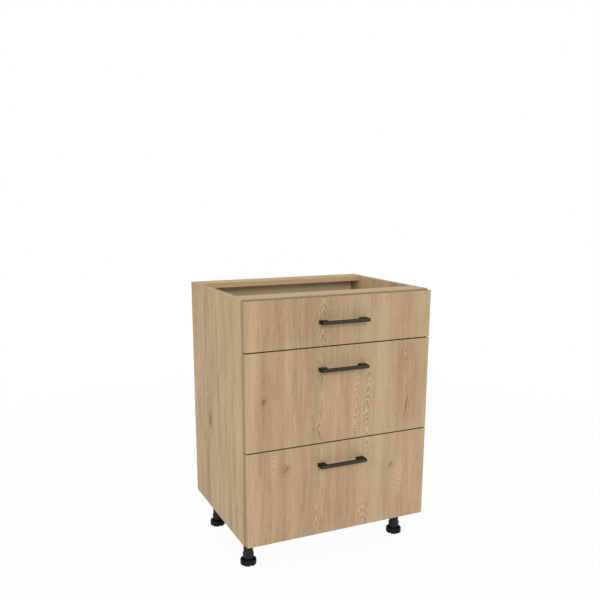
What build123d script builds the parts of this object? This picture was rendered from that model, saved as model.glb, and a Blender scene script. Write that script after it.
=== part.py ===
from build123d import *
import os
from collections import namedtuple
from math import sqrt

# Kitchen base cabinet with three drawers, in millimetres.
# X runs to the right, Y to the back and Z up. The origin is on the floor, in the middle of the
# cabinet's outline, so the drawer fronts face -Y.

# Carcass boards
CARCASS_WIDTH = 600.0
CARCASS_HEIGHT = 720.0
PANEL_THICKNESS = 16.0
EDGE_RADIUS = 0.6
RAIL_WIDTH = 70.0
BACK_THICKNESS = 3.0
BACK_INSET = 9.0
BACK_GROOVE_DEPTH = 6.0
GROOVE_CLEARANCE = 0.2
WORKTOP_HOLE_RADIUS = 2.5
WORKTOP_HOLE_SPACING = 400.0

# Drawer fronts
FRONT_THICKNESS = 19.0
FRONT_GAP = 3.0
SIDE_REVEAL = 3.0
EDGE_REVEAL = 3.0
FRONT_SPACING = 3.0
TOP_FRONT_HEIGHT = 140.0
FRONT_EDGE_RADIUS = 1.0

# Drawer boxes
BOX_BOARD = 12.0
BOX_LENGTH = 400.0
BOX_REAR_ROOM = 47.0
BOX_LIFT = 26.0
TOP_BOX_HEIGHT = 64.0
DEEP_BOX_HEIGHT = 180.0
BOX_BOTTOM_THICKNESS = 3.0
BOX_BOTTOM_LIFT = 10.0
BOX_GROOVE_DEPTH = 6.0

# Handles
HANDLE_HOLE_SPACING = 128.0
HANDLE_FOOT_WIDTH = 23.0
HANDLE_HEIGHT = 10.0
HANDLE_BAR_DEPTH = 8.0
HANDLE_PROJECTION = 28.0
HANDLE_INNER_RADIUS = 2.0
HANDLE_EDGE_RADIUS = 0.8
HANDLE_DROP = 63.0
HANDLE_SCREW_BITE = 8.0
HANDLE_SCREW_RECESS = 3.0

# Roller runners: bent sheet steel, a roller on the cabinet's front end and one on the drawer's rear end
RUNNER_SPACE = 12.5
RUNNER_SHEET = 1.2
RUNNER_SETBACK = 3.0
RUNNER_FLANGE = 10.0
RUNNER_TRAVEL = 304.0
TRACK_EDGE = 2.0
TRACK_CLEARANCE = 0.8
ROLLER_RADIUS = 8.5
ROLLER_WIDTH = 6.5
ROLLER_CLEARANCE = 0.3
FRONT_ROLLER_OFFSET = 12.0
REAR_ROLLER_OFFSET = 8.0
AXLE_RADIUS = 2.5
AXLE_CLEARANCE = 0.1
AXLE_HEAD_RADIUS = 4.0
AXLE_HEAD_THICKNESS = 0.8
STOP_TAB_HEIGHT = 4.0
RUNNER_SCREW_INSET = 40.0
DRAWER_RUNNER_SCREW_RISE = 5.0

# Legs
LEG_HEIGHT = 100.0
LEG_SIDE_INSET = 41.5
LEG_FRONT_INSET = 77.0
LEG_BACK_INSET = 87.0
SOCKET_RADIUS = 30.0
SOCKET_PLATE = 4.0
SPIGOT_RADIUS = 11.0
SPIGOT_LENGTH = 22.0
SPIGOT_CLEARANCE = 0.2
SOCKET_SCREW_OFFSET = 15.5
TUBE_RADIUS = 14.6
COLLAR_RADIUS = 17.1
COLLAR_HEIGHT = 5.0
COLLAR_EDGE = 2.0
SLEEVE_RADIUS = 16.4
SLEEVE_HEIGHT = 11.5
FOOT_GAP = 5.5
FOOT_RADIUS = 24.6
FOOT_HEIGHT = 16.0
FOOT_BASE = 6.0
FOOT_WALL = 5.0
FOOT_EDGE = 2.0
FOOT_RIM_EDGE = 1.0
FOOT_NOTCHES = 6
NOTCH_WIDTH = 5.0
NOTCH_HEIGHT = 13.0
NOTCH_DEPTH = 3.5
UNDERCUT_HEIGHT = 5.0
UNDERCUT_DEPTH = 8.0
FOOT_RISE = 10.0
SPINDLE_RADIUS = 9.7
SPINDLE_LENGTH = 46.0
THREAD_CLEARANCE = 0.3
BORE_END_ROOM = 4.0

# Hidden joints of the carcass: wooden dowels, and eccentric locks that draw in a steel bolt
DOWEL_RADIUS = 4.0
DOWEL_LENGTH = 30.0
DOWEL_IN_SIDE = 10.0
BOTTOM_DOWEL_INSET = 30.0
BOTTOM_LOCK_INSET = 150.0
RAIL_JOINT_OFFSET = 13.0
LOCK_RADIUS = 7.4
LOCK_HEIGHT = 12.0
LOCK_DISTANCE = 24.0
LOCK_SLOT_LENGTH = 9.0
LOCK_SLOT_WIDTH = 1.6
LOCK_SLOT_DEPTH = 2.0
BOLT_RADIUS = 3.0
BOLT_THREAD_RADIUS = 2.5
BOLT_IN_SIDE = 10.0
BOLT_PAST_CENTRE = 3.0
FITTING_CLEARANCE = 0.1
HOLE_END_ROOM = 1.0

# Screws. A countersunk or pan head's size is a share of the shank's radius.
SCREW_CLEARANCE = 0.1
CABINET_RUNNER_SCREW_RADIUS = 2.0
CABINET_RUNNER_SCREW_LENGTH = 13.0
DRAWER_RUNNER_SCREW_RADIUS = 1.6
DRAWER_RUNNER_SCREW_LENGTH = 9.0
SOCKET_SCREW_RADIUS = 1.8
SOCKET_SCREW_LENGTH = 15.0
CORNER_SCREW_RADIUS = 1.8
CORNER_SCREW_LENGTH = 40.0
BOTTOM_SCREW_RADIUS = 1.4
BOTTOM_SCREW_LENGTH = 14.0
FRONT_SCREW_RADIUS = 2.0
FRONT_SCREW_BITE = 13.0
HANDLE_SCREW_RADIUS = 2.0
COUNTERSUNK_HEAD_SHARE = 1.85
COUNTERSUNK_HEIGHT_SHARE = 1.0
PAN_HEAD_SHARE = 2.0
PAN_HEIGHT_SHARE = 1.2
CORNER_SCREW_RISE = 35.0
CORNER_SCREW_DROP = 15.0
FRONT_SCREW_INSET = 40.0
FRONT_SCREW_RISE = 30.0
FRONT_SCREW_DROP = 20.0
BOTTOM_SCREW_SPACING = 200.0

# Sizes and places that follow from the sizes above
CARCASS_DEPTH = BOX_LENGTH - FRONT_GAP + BOX_REAR_ROOM + BACK_THICKNESS + BACK_INSET
OVERALL_DEPTH = HANDLE_PROJECTION + FRONT_THICKNESS + FRONT_GAP + CARCASS_DEPTH
CARCASS_BACK = OVERALL_DEPTH / 2
CARCASS_FRONT = CARCASS_BACK - CARCASS_DEPTH
FRONT_BACK = CARCASS_FRONT - FRONT_GAP
FRONT_FACE = FRONT_BACK - FRONT_THICKNESS
HANDLE_FACE = FRONT_FACE - HANDLE_PROJECTION
CARCASS_LOW = LEG_HEIGHT
CARCASS_TOP = LEG_HEIGHT + CARCASS_HEIGHT
FLOOR_TOP = CARCASS_LOW + PANEL_THICKNESS
RAIL_LOW = CARCASS_TOP - PANEL_THICKNESS
OUTER_X = CARCASS_WIDTH / 2
INNER_X = OUTER_X - PANEL_THICKNESS
FRONT_X = OUTER_X - SIDE_REVEAL
BOX_X = INNER_X - RUNNER_SPACE
BOX_INNER_X = BOX_X - BOX_BOARD
BOX_BACK = FRONT_BACK + BOX_LENGTH
BACK_PANEL_Y = (CARCASS_BACK - BACK_INSET - BACK_THICKNESS, CARCASS_BACK - BACK_INSET)
FRONT_RAIL_Y = (CARCASS_FRONT, CARCASS_FRONT + RAIL_WIDTH)
BACK_RAIL_Y = (CARCASS_BACK - RAIL_WIDTH, CARCASS_BACK)
DEEP_FRONT_HEIGHT = (CARCASS_HEIGHT - TOP_FRONT_HEIGHT - 2 * EDGE_REVEAL - 2 * FRONT_SPACING) / 2
SIDES = {"left": -1, "right": 1}

# Heights in a runner, from the lower edge of the drawer's sides
REAR_ROLLER_RISE = RUNNER_SHEET + ROLLER_CLEARANCE + ROLLER_RADIUS
CHANNEL_INSIDE_TOP = REAR_ROLLER_RISE + ROLLER_RADIUS + ROLLER_CLEARANCE
CHANNEL_TOP = CHANNEL_INSIDE_TOP + RUNNER_SHEET
TRACK_LOW = CHANNEL_TOP + TRACK_CLEARANCE
TRACK_TOP = TRACK_LOW + RUNNER_SHEET
FRONT_ROLLER_RISE = TRACK_LOW - ROLLER_CLEARANCE - ROLLER_RADIUS

# Depths in a runner, from front to back
RUNNER_FRONT = CARCASS_FRONT + RUNNER_SETBACK
FRONT_ROLLER_Y = RUNNER_FRONT + FRONT_ROLLER_OFFSET
REAR_ROLLER_Y = BOX_BACK - REAR_ROLLER_OFFSET
RUNNER_END = REAR_ROLLER_Y + ROLLER_RADIUS + ROLLER_CLEARANCE + RUNNER_SHEET

# Widths in a runner, from the carcass side towards the drawer
ROLLER_NEAR = (RUNNER_SPACE - ROLLER_WIDTH) / 2
ROLLER_FAR = ROLLER_NEAR + ROLLER_WIDTH
DRAWER_WEB = RUNNER_SPACE - RUNNER_SHEET

Drawer = namedtuple("Drawer", "name front_low front_height box_height handle_height")
BOTTOM_FRONT_LOW = CARCASS_LOW + EDGE_REVEAL
MIDDLE_FRONT_LOW = BOTTOM_FRONT_LOW + DEEP_FRONT_HEIGHT + FRONT_SPACING
TOP_FRONT_LOW = MIDDLE_FRONT_LOW + DEEP_FRONT_HEIGHT + FRONT_SPACING
DRAWERS = (
    Drawer("top", TOP_FRONT_LOW, TOP_FRONT_HEIGHT, TOP_BOX_HEIGHT, TOP_FRONT_HEIGHT / 2),
    Drawer("middle", MIDDLE_FRONT_LOW, DEEP_FRONT_HEIGHT, DEEP_BOX_HEIGHT, DEEP_FRONT_HEIGHT - HANDLE_DROP),
    Drawer("bottom", BOTTOM_FRONT_LOW, DEEP_FRONT_HEIGHT, DEEP_BOX_HEIGHT, DEEP_FRONT_HEIGHT - HANDLE_DROP),
)

LEGS = {
    "front_left": (-OUTER_X + LEG_SIDE_INSET, CARCASS_FRONT + LEG_FRONT_INSET),
    "front_right": (OUTER_X - LEG_SIDE_INSET, CARCASS_FRONT + LEG_FRONT_INSET),
    "back_left": (-OUTER_X + LEG_SIDE_INSET, CARCASS_BACK - LEG_BACK_INSET),
    "back_right": (OUTER_X - LEG_SIDE_INSET, CARCASS_BACK - LEG_BACK_INSET),
}

Screw = namedtuple("Screw", "shank length head head_height countersunk")


def countersunk(radius, length):
    """Sizes of a wood screw with a countersunk head. Its length includes the head."""
    return Screw(radius, length, radius * COUNTERSUNK_HEAD_SHARE, radius * COUNTERSUNK_HEIGHT_SHARE, True)


def pan_head(radius, length):
    """Sizes of a screw with a pan head. Its length is what lies under the head."""
    return Screw(radius, length, radius * PAN_HEAD_SHARE, radius * PAN_HEIGHT_SHARE, False)


CABINET_RUNNER_SCREW = countersunk(CABINET_RUNNER_SCREW_RADIUS, CABINET_RUNNER_SCREW_LENGTH)
DRAWER_RUNNER_SCREW = countersunk(DRAWER_RUNNER_SCREW_RADIUS, DRAWER_RUNNER_SCREW_LENGTH)
SOCKET_SCREW = countersunk(SOCKET_SCREW_RADIUS, SOCKET_SCREW_LENGTH)
CORNER_SCREW = countersunk(CORNER_SCREW_RADIUS, CORNER_SCREW_LENGTH)
BOTTOM_SCREW = countersunk(BOTTOM_SCREW_RADIUS, BOTTOM_SCREW_LENGTH)
FRONT_SCREW = pan_head(FRONT_SCREW_RADIUS, BOX_BOARD + FRONT_SCREW_BITE)
HANDLE_SCREW = pan_head(HANDLE_SCREW_RADIUS, FRONT_THICKNESS - HANDLE_SCREW_RECESS + HANDLE_SCREW_BITE)

parts = {}


# Shapes that many pieces use


def block(x_span, y_span, z_span):
    """A rectangular solid between two values on each axis."""
    spans = [sorted(span) for span in (x_span, y_span, z_span)]
    middle = [(low + high) / 2 for low, high in spans]
    return Pos(*middle) * Box(*(high - low for low, high in spans))


def edged(board, axis=None):
    """A board with its edges rounded, either all of them or those along one axis."""
    edges = board.edges() if axis is None else board.edges().filter_by(axis)
    return fillet(edges, EDGE_RADIUS)


def rod(start, direction, length, radius):
    """A round bar that runs from a point along a direction."""
    bar = Cylinder(radius, length, align=(Align.CENTER, Align.CENTER, Align.MIN))
    return Plane(origin=start, z_dir=direction) * bar


def taper(start, direction, length, start_radius, end_radius):
    """A cone that runs from a point along a direction."""
    cone = Cone(start_radius, end_radius, length, align=(Align.CENTER, Align.CENTER, Align.MIN))
    return Plane(origin=start, z_dir=direction) * cone


def turned(profile, x, y):
    """A solid of revolution about a vertical axis, from (radius, height) points."""
    face = make_face(Polyline(*[(radius, 0, height) for radius, height in profile], close=True))
    return Pos(x, y, 0) * revolve(face, Axis.Z)


def screw(size, seat, direction, spare=0.0):
    """A screw whose head seats at a point. Spare widens it into the hole that it sits in."""
    backwards = tuple(-value for value in direction)
    end_room = HOLE_END_ROOM if spare else 0.0
    shank = rod(seat, direction, size.length + end_room, size.shank + spare)
    if size.countersunk:
        head = taper(seat, direction, size.head_height, size.head + spare, size.shank + spare)
    else:
        head = rod(seat, backwards, size.head_height + spare, size.head + spare)
    return shank + head


def holes(size, seats, direction):
    """The holes for a row of like screws."""
    return [screw(size, seat, direction, SCREW_CLEARANCE) for seat in seats]


def across(side, near, far):
    """A span of X, from distances off the inner face of one carcass side towards the drawer."""
    return (side * (INNER_X - near), side * (INNER_X - far))


# Carcass joints: where the dowels, bolts and locks of the bottom and the rails lie

BOTTOM_MIDDLE = CARCASS_LOW + PANEL_THICKNESS / 2
RAIL_MIDDLE = RAIL_LOW + PANEL_THICKNESS / 2
FRONT_RAIL_CENTRE = sum(FRONT_RAIL_Y) / 2
BACK_RAIL_CENTRE = sum(BACK_RAIL_Y) / 2
DOWEL_PLACES = [
    (CARCASS_FRONT + BOTTOM_DOWEL_INSET, BOTTOM_MIDDLE),
    (CARCASS_BACK - BOTTOM_DOWEL_INSET, BOTTOM_MIDDLE),
    (FRONT_RAIL_CENTRE + RAIL_JOINT_OFFSET, RAIL_MIDDLE),
    (BACK_RAIL_CENTRE + RAIL_JOINT_OFFSET, RAIL_MIDDLE),
]
LOCK_PLACES = [
    (CARCASS_FRONT + BOTTOM_LOCK_INSET, BOTTOM_MIDDLE),
    (CARCASS_BACK - BOTTOM_LOCK_INSET, BOTTOM_MIDDLE),
    (FRONT_RAIL_CENTRE - RAIL_JOINT_OFFSET, RAIL_MIDDLE),
    (BACK_RAIL_CENTRE - RAIL_JOINT_OFFSET, RAIL_MIDDLE),
]


def dowel(side, y, z, spare=0.0):
    """A dowel across the face between a side panel and the end of another board."""
    room = HOLE_END_ROOM if spare else 0.0
    start = (side * (INNER_X + DOWEL_IN_SIDE + room), y, z)
    return rod(start, (-side, 0, 0), DOWEL_LENGTH + 2 * room, DOWEL_RADIUS + spare)


def lock_bolt(side, y, z, spare=0.0):
    """A steel bolt, screwed into a side panel, whose smooth end reaches into the lock."""
    room = HOLE_END_ROOM if spare else 0.0
    seat = (side * INNER_X, y, z)
    thread = rod(seat, (side, 0, 0), BOLT_IN_SIDE + room, BOLT_THREAD_RADIUS + spare)
    reach = LOCK_DISTANCE + BOLT_PAST_CENTRE + room
    return thread + rod(seat, (-side, 0, 0), reach, BOLT_RADIUS + spare)


def lock_body(side, y, z, spare=0.0):
    """The round body of an eccentric lock, let into the underside of a board."""
    seat = (side * (INNER_X - LOCK_DISTANCE), y, z - PANEL_THICKNESS / 2)
    return rod(seat, (0, 0, 1), LOCK_HEIGHT + spare, LOCK_RADIUS + spare)


def lock(side, y, z):
    """An eccentric lock with a cross slot, hollowed for its bolt."""
    x = side * (INNER_X - LOCK_DISTANCE)
    low = z - PANEL_THICKNESS / 2
    depth = (low, low + LOCK_SLOT_DEPTH)
    long_span, short_span = LOCK_SLOT_LENGTH / 2, LOCK_SLOT_WIDTH / 2
    cross = [
        block((x - long_span, x + long_span), (y - short_span, y + short_span), depth),
        block((x - short_span, x + short_span), (y - long_span, y + long_span), depth),
    ]
    return lock_body(side, y, z) - lock_bolt(side, y, z, FITTING_CLEARANCE) - cross


def joint_holes(side):
    """Every dowel, bolt and lock hole at one end of the bottom and the rails."""
    cuts = [dowel(side, y, z, FITTING_CLEARANCE) for y, z in DOWEL_PLACES]
    for y, z in LOCK_PLACES:
        cuts.append(lock_bolt(side, y, z, FITTING_CLEARANCE))
        cuts.append(lock_body(side, y, z, FITTING_CLEARANCE))
    return cuts


BOTH_ENDS = joint_holes(-1) + joint_holes(1)
parts["carcass_dowels"] = [dowel(side, y, z) for side in SIDES.values() for y, z in DOWEL_PLACES]
parts["lock_bolts"] = [lock_bolt(side, y, z) for side in SIDES.values() for y, z in LOCK_PLACES]
parts["eccentric_locks"] = [lock(side, y, z) for side in SIDES.values() for y, z in LOCK_PLACES]


# Runners: the cabinet's channel, the drawer's track and their rollers


def box_low(drawer):
    """Height of the lower edge of a drawer's sides."""
    return drawer.front_low + BOX_LIFT


def axle(side, y, z, root, tip):
    """A rivet on a runner's web, with a shoulder and a head that keep its roller in place."""
    outward = 1 if tip > root else -1
    shoulder = (ROLLER_NEAR if outward > 0 else ROLLER_FAR) - outward * ROLLER_CLEARANCE
    direction = (-side * outward, 0, 0)

    def at(distance):
        return (side * (INNER_X - distance), y, z)

    pin = rod(at(root), direction, abs(tip - root), AXLE_RADIUS)
    collar = rod(at(root), direction, abs(shoulder - root), AXLE_HEAD_RADIUS)
    return pin + collar + rod(at(tip), direction, AXLE_HEAD_THICKNESS, AXLE_HEAD_RADIUS)


def roller(side, y, z):
    """A nylon roller with its bore."""
    start = (side * (INNER_X - ROLLER_NEAR), y, z)
    wheel = rod(start, (-side, 0, 0), ROLLER_WIDTH, ROLLER_RADIUS)
    return wheel - rod(start, (-side, 0, 0), ROLLER_WIDTH, AXLE_RADIUS + AXLE_CLEARANCE)


def cabinet_runner_seats(side, low):
    """Where the screws of a cabinet runner seat."""
    x = side * (INNER_X - RUNNER_SHEET)
    middle = (RUNNER_FRONT + RUNNER_END) / 2
    places = (RUNNER_FRONT + RUNNER_SCREW_INSET, middle, RUNNER_END - RUNNER_SCREW_INSET)
    return [(x, y, low + REAR_ROLLER_RISE) for y in places]


def cabinet_runner(side, low):
    """The channel on a carcass side: web, flanges, two stops and the axle of the front roller."""
    open_axle = REAR_ROLLER_Y - RUNNER_TRAVEL
    tab_low = CHANNEL_INSIDE_TOP - STOP_TAB_HEIGHT
    tab_reach = sqrt(ROLLER_RADIUS ** 2 - (tab_low - REAR_ROLLER_RISE) ** 2) + ROLLER_CLEARANCE
    tab_back = open_axle - tab_reach
    flange_front = FRONT_ROLLER_Y + ROLLER_RADIUS + RUNNER_SETBACK
    length = (RUNNER_FRONT, RUNNER_END)
    full_height = (low, low + CHANNEL_TOP)
    wide = across(side, 0, RUNNER_FLANGE)
    web = block(across(side, 0, RUNNER_SHEET), length, full_height)
    lower = block(wide, length, (low, low + RUNNER_SHEET))
    upper = block(wide, (flange_front, RUNNER_END), (low + CHANNEL_INSIDE_TOP, low + CHANNEL_TOP))
    end_stop = block(wide, (RUNNER_END - RUNNER_SHEET, RUNNER_END), full_height)
    tab = block(wide, (tab_back - RUNNER_SHEET, tab_back), (low + tab_low, low + CHANNEL_TOP))
    pin = axle(side, FRONT_ROLLER_Y, low + FRONT_ROLLER_RISE, 0, ROLLER_FAR + ROLLER_CLEARANCE)
    seats = cabinet_runner_seats(side, low)
    return web + lower + upper + end_stop + tab + pin - holes(CABINET_RUNNER_SCREW, seats, (side, 0, 0))


def drawer_runner_seats(side, low):
    """Where the screws of a drawer runner seat."""
    x = side * (INNER_X - DRAWER_WEB)
    middle = (FRONT_BACK + BOX_BACK) / 2
    places = (FRONT_BACK + RUNNER_SCREW_INSET, middle, BOX_BACK - RUNNER_SCREW_INSET)
    return [(x, y, low + DRAWER_RUNNER_SCREW_RISE) for y in places]


def drawer_runner(side, low):
    """The track under a drawer's side: web, track, support flange and the axle of the rear roller."""
    length = (FRONT_BACK, BOX_BACK)
    web = block(across(side, DRAWER_WEB, RUNNER_SPACE), length, (low - RUNNER_SHEET, low + TRACK_TOP))
    track = block(across(side, TRACK_EDGE, RUNNER_SPACE), length, (low + TRACK_LOW, low + TRACK_TOP))
    support = block(across(side, DRAWER_WEB, RUNNER_SPACE + BOX_BOARD), length, (low - RUNNER_SHEET, low))
    tip = ROLLER_NEAR - ROLLER_CLEARANCE
    pin = axle(side, REAR_ROLLER_Y, low + REAR_ROLLER_RISE, RUNNER_SPACE, tip)
    seats = drawer_runner_seats(side, low)
    return web + track + support + pin - holes(DRAWER_RUNNER_SCREW, seats, (-side, 0, 0))


for drawer in DRAWERS:
    low = box_low(drawer)
    front_height = low + FRONT_ROLLER_RISE
    rear_height = low + REAR_ROLLER_RISE
    pair = SIDES.values()
    parts[drawer.name + "_cabinet_runners"] = [cabinet_runner(side, low) for side in pair]
    parts[drawer.name + "_drawer_runners"] = [drawer_runner(side, low) for side in pair]
    parts[drawer.name + "_front_rollers"] = [roller(side, FRONT_ROLLER_Y, front_height) for side in pair]
    parts[drawer.name + "_rear_rollers"] = [roller(side, REAR_ROLLER_Y, rear_height) for side in pair]

CABINET_RUNNER_SEATS = {
    side: [seat for drawer in DRAWERS for seat in cabinet_runner_seats(side, box_low(drawer))]
    for side in SIDES.values()
}
parts["cabinet_runner_screws"] = [
    screw(CABINET_RUNNER_SCREW, seat, (side, 0, 0))
    for side, seats in CABINET_RUNNER_SEATS.items()
    for seat in seats
]


# Carcass boards

back_groove_y = (BACK_PANEL_Y[0] - GROOVE_CLEARANCE, BACK_PANEL_Y[1] + GROOVE_CLEARANCE)
groove_x = INNER_X + BACK_GROOVE_DEPTH
groove_low = FLOOR_TOP - BACK_GROOVE_DEPTH
groove_high = RAIL_LOW + BACK_GROOVE_DEPTH
back_groove = block((-groove_x, groove_x), back_groove_y, (groove_low, groove_high))

parts["back_panel"] = block(
    (-groove_x + GROOVE_CLEARANCE, groove_x - GROOVE_CLEARANCE),
    BACK_PANEL_Y,
    (groove_low + GROOVE_CLEARANCE, groove_high - GROOVE_CLEARANCE),
)

for name, side in SIDES.items():
    board = block((side * INNER_X, side * OUTER_X), (CARCASS_FRONT, CARCASS_BACK), (CARCASS_LOW, CARCASS_TOP))
    board = edged(board)
    screw_holes = holes(CABINET_RUNNER_SCREW, CABINET_RUNNER_SEATS[side], (side, 0, 0))
    parts[name + "_side_panel"] = board - back_groove - joint_holes(side) - screw_holes


def socket_seats(x, y):
    """Where the screws of a leg socket seat, under its plate."""
    height = LEG_HEIGHT - SOCKET_PLATE
    offsets = (-SOCKET_SCREW_OFFSET, SOCKET_SCREW_OFFSET)
    return [(x + dx, y + dy, height) for dx in offsets for dy in offsets]


LEG_SCREW_SEATS = [seat for x, y in LEGS.values() for seat in socket_seats(x, y)]
inner_width = (-INNER_X, INNER_X)
bottom = edged(block(inner_width, (CARCASS_FRONT, CARCASS_BACK), (CARCASS_LOW, FLOOR_TOP)), Axis.X)
parts["bottom_panel"] = bottom - back_groove - BOTH_ENDS - holes(SOCKET_SCREW, LEG_SCREW_SEATS, (0, 0, 1))

for name, depth_span in (("front", FRONT_RAIL_Y), ("back", BACK_RAIL_Y)):
    board = edged(block(inner_width, depth_span, (RAIL_LOW, CARCASS_TOP)), Axis.X)
    centre = sum(depth_span) / 2
    worktop_holes = [
        rod((x, centre, RAIL_LOW), (0, 0, 1), PANEL_THICKNESS, WORKTOP_HOLE_RADIUS)
        for x in (-WORKTOP_HOLE_SPACING / 2, WORKTOP_HOLE_SPACING / 2)
    ]
    parts[name + "_top_rail"] = board - back_groove - BOTH_ENDS - worktop_holes


# Legs: a socket under the carcass, a tube that plugs onto it and a foot that screws in and out

FOOT_RIM_RADIUS = FOOT_RADIUS - FOOT_WALL
SLEEVE_LOW = FOOT_HEIGHT + FOOT_GAP
COLLAR_LOW = SLEEVE_LOW + SLEEVE_HEIGHT
COLLAR_TOP = COLLAR_LOW + COLLAR_HEIGHT
TUBE_TOP = LEG_HEIGHT - SOCKET_PLATE
SPINDLE_TOP = FOOT_BASE + SPINDLE_LENGTH


def leg_socket(x, y):
    """A screwed plate with a spigot that points down."""
    plate = rod((x, y, TUBE_TOP), (0, 0, 1), SOCKET_PLATE, SOCKET_RADIUS)
    spigot = rod((x, y, TUBE_TOP), (0, 0, -1), SPIGOT_LENGTH, SPIGOT_RADIUS)
    return plate + spigot - holes(SOCKET_SCREW, socket_seats(x, y), (0, 0, 1))


def leg_tube(x, y):
    """The leg's tube with its collar and sleeve, bored for the spigot above and the spindle below."""
    outline = [
        (0, SLEEVE_LOW),
        (SLEEVE_RADIUS, SLEEVE_LOW),
        (SLEEVE_RADIUS, COLLAR_LOW),
        (COLLAR_RADIUS, COLLAR_LOW),
        (COLLAR_RADIUS, COLLAR_TOP - COLLAR_EDGE),
        (TUBE_RADIUS, COLLAR_TOP + COLLAR_EDGE),
        (TUBE_RADIUS, TUBE_TOP),
        (0, TUBE_TOP),
    ]
    spigot_bore = SPIGOT_LENGTH + HOLE_END_ROOM
    spindle_bore = SPINDLE_TOP + FOOT_RISE + BORE_END_ROOM - SLEEVE_LOW
    upper = rod((x, y, TUBE_TOP), (0, 0, -1), spigot_bore, SPIGOT_RADIUS + SPIGOT_CLEARANCE)
    lower = rod((x, y, SLEEVE_LOW), (0, 0, 1), spindle_bore, SPINDLE_RADIUS + THREAD_CLEARANCE)
    return turned(outline, x, y) - upper - lower


def leg_foot(x, y):
    """A cupped foot on a spindle, with grip notches round its wall that reach further in under its base."""
    outline = [
        (0, 0),
        (FOOT_RADIUS - FOOT_EDGE, 0),
        (FOOT_RADIUS, FOOT_EDGE),
        (FOOT_RADIUS, FOOT_HEIGHT - FOOT_RIM_EDGE),
        (FOOT_RADIUS - FOOT_RIM_EDGE, FOOT_HEIGHT),
        (FOOT_RIM_RADIUS, FOOT_HEIGHT),
        (FOOT_RIM_RADIUS, FOOT_BASE),
        (SPINDLE_RADIUS, FOOT_BASE),
        (SPINDLE_RADIUS, SPINDLE_TOP),
        (0, SPINDLE_TOP),
    ]
    width = (-NOTCH_WIDTH / 2, NOTCH_WIDTH / 2)
    notch = block((FOOT_RADIUS - NOTCH_DEPTH, FOOT_RADIUS + NOTCH_DEPTH), width, (0, NOTCH_HEIGHT))
    undercut = block((FOOT_RADIUS - UNDERCUT_DEPTH, FOOT_RADIUS), width, (0, UNDERCUT_HEIGHT))
    step = 360 / FOOT_NOTCHES
    places = [Pos(x, y, 0) * Rot(0, 0, step * (turn + 0.5)) for turn in range(FOOT_NOTCHES)]
    return turned(outline, x, y) - [place * cut for place in places for cut in (notch, undercut)]


for name, (x, y) in LEGS.items():
    parts[name + "_leg_socket"] = leg_socket(x, y)
    parts[name + "_leg_tube"] = leg_tube(x, y)
    parts[name + "_leg_foot"] = leg_foot(x, y)
parts["leg_socket_screws"] = [screw(SOCKET_SCREW, seat, (0, 0, 1)) for seat in LEG_SCREW_SEATS]


# Drawers: box, front, handle and their screws


def handle_seats(drawer):
    """Where the heads of the handle's screws seat, in recesses in the back of the front."""
    y = FRONT_BACK - HANDLE_SCREW_RECESS
    z = drawer.front_low + drawer.handle_height
    return [(x, y, z) for x in (-HANDLE_HOLE_SPACING / 2, HANDLE_HOLE_SPACING / 2)]


def handle(drawer):
    """A bar with a block foot at each end, screwed on from behind."""
    half_length = (HANDLE_HOLE_SPACING + HANDLE_FOOT_WIDTH) / 2
    half_gap = (HANDLE_HOLE_SPACING - HANDLE_FOOT_WIDTH) / 2
    bar_back = HANDLE_FACE + HANDLE_BAR_DEPTH
    z = drawer.front_low + drawer.handle_height
    height = (z - HANDLE_HEIGHT / 2, z + HANDLE_HEIGHT / 2)
    body = block((-half_length, half_length), (HANDLE_FACE, FRONT_FACE), height)
    gap = block((-half_gap, half_gap), (bar_back, FRONT_FACE), height)
    gap = fillet(gap.edges().filter_by(Axis.Z).group_by(Axis.Y)[0], HANDLE_INNER_RADIUS)
    front_edges = body.faces().sort_by(Axis.Y)[0].edges()
    body = fillet(front_edges, HANDLE_EDGE_RADIUS)
    return body - gap - holes(HANDLE_SCREW, handle_seats(drawer), (0, -1, 0))


def front_screw_seats(drawer):
    """Where the heads of the screws that hold the front seat, inside the box."""
    low = box_low(drawer)
    y = FRONT_BACK + BOX_BOARD
    x_places = (-BOX_INNER_X + FRONT_SCREW_INSET, BOX_INNER_X - FRONT_SCREW_INSET)
    z_places = (low + FRONT_SCREW_RISE, low + drawer.box_height - FRONT_SCREW_DROP)
    return [(x, y, z) for x in x_places for z in z_places]


def drawer_front(drawer):
    """The visible front, rounded along its face."""
    height = (drawer.front_low, drawer.front_low + drawer.front_height)
    board = block((-FRONT_X, FRONT_X), (FRONT_FACE, FRONT_BACK), height)
    board = fillet(board.faces().sort_by(Axis.Y)[0].edges(), FRONT_EDGE_RADIUS)
    cuts = holes(HANDLE_SCREW, handle_seats(drawer), (0, -1, 0))
    return board - cuts - holes(FRONT_SCREW, front_screw_seats(drawer), (0, -1, 0))


def corner_seats(drawer, side):
    """Where the corner screws of one side of a box seat."""
    low = box_low(drawer)
    y_places = (FRONT_BACK + BOX_BOARD / 2, BOX_BACK - BOX_BOARD / 2)
    z_places = (low + CORNER_SCREW_RISE, low + drawer.box_height - CORNER_SCREW_DROP)
    return [(side * BOX_X, y, z) for y in y_places for z in z_places]


def bottom_span(drawer):
    """Lower and upper height of a box's thin bottom."""
    low = box_low(drawer) + BOX_BOTTOM_LIFT
    return (low, low + BOX_BOTTOM_THICKNESS)


def bottom_screw_seats(drawer):
    """Where the screws that hold the box's bottom under its back seat."""
    y = BOX_BACK - BOX_BOARD / 2
    return [(x, y, bottom_span(drawer)[0]) for x in (-BOTTOM_SCREW_SPACING, 0, BOTTOM_SCREW_SPACING)]


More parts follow.
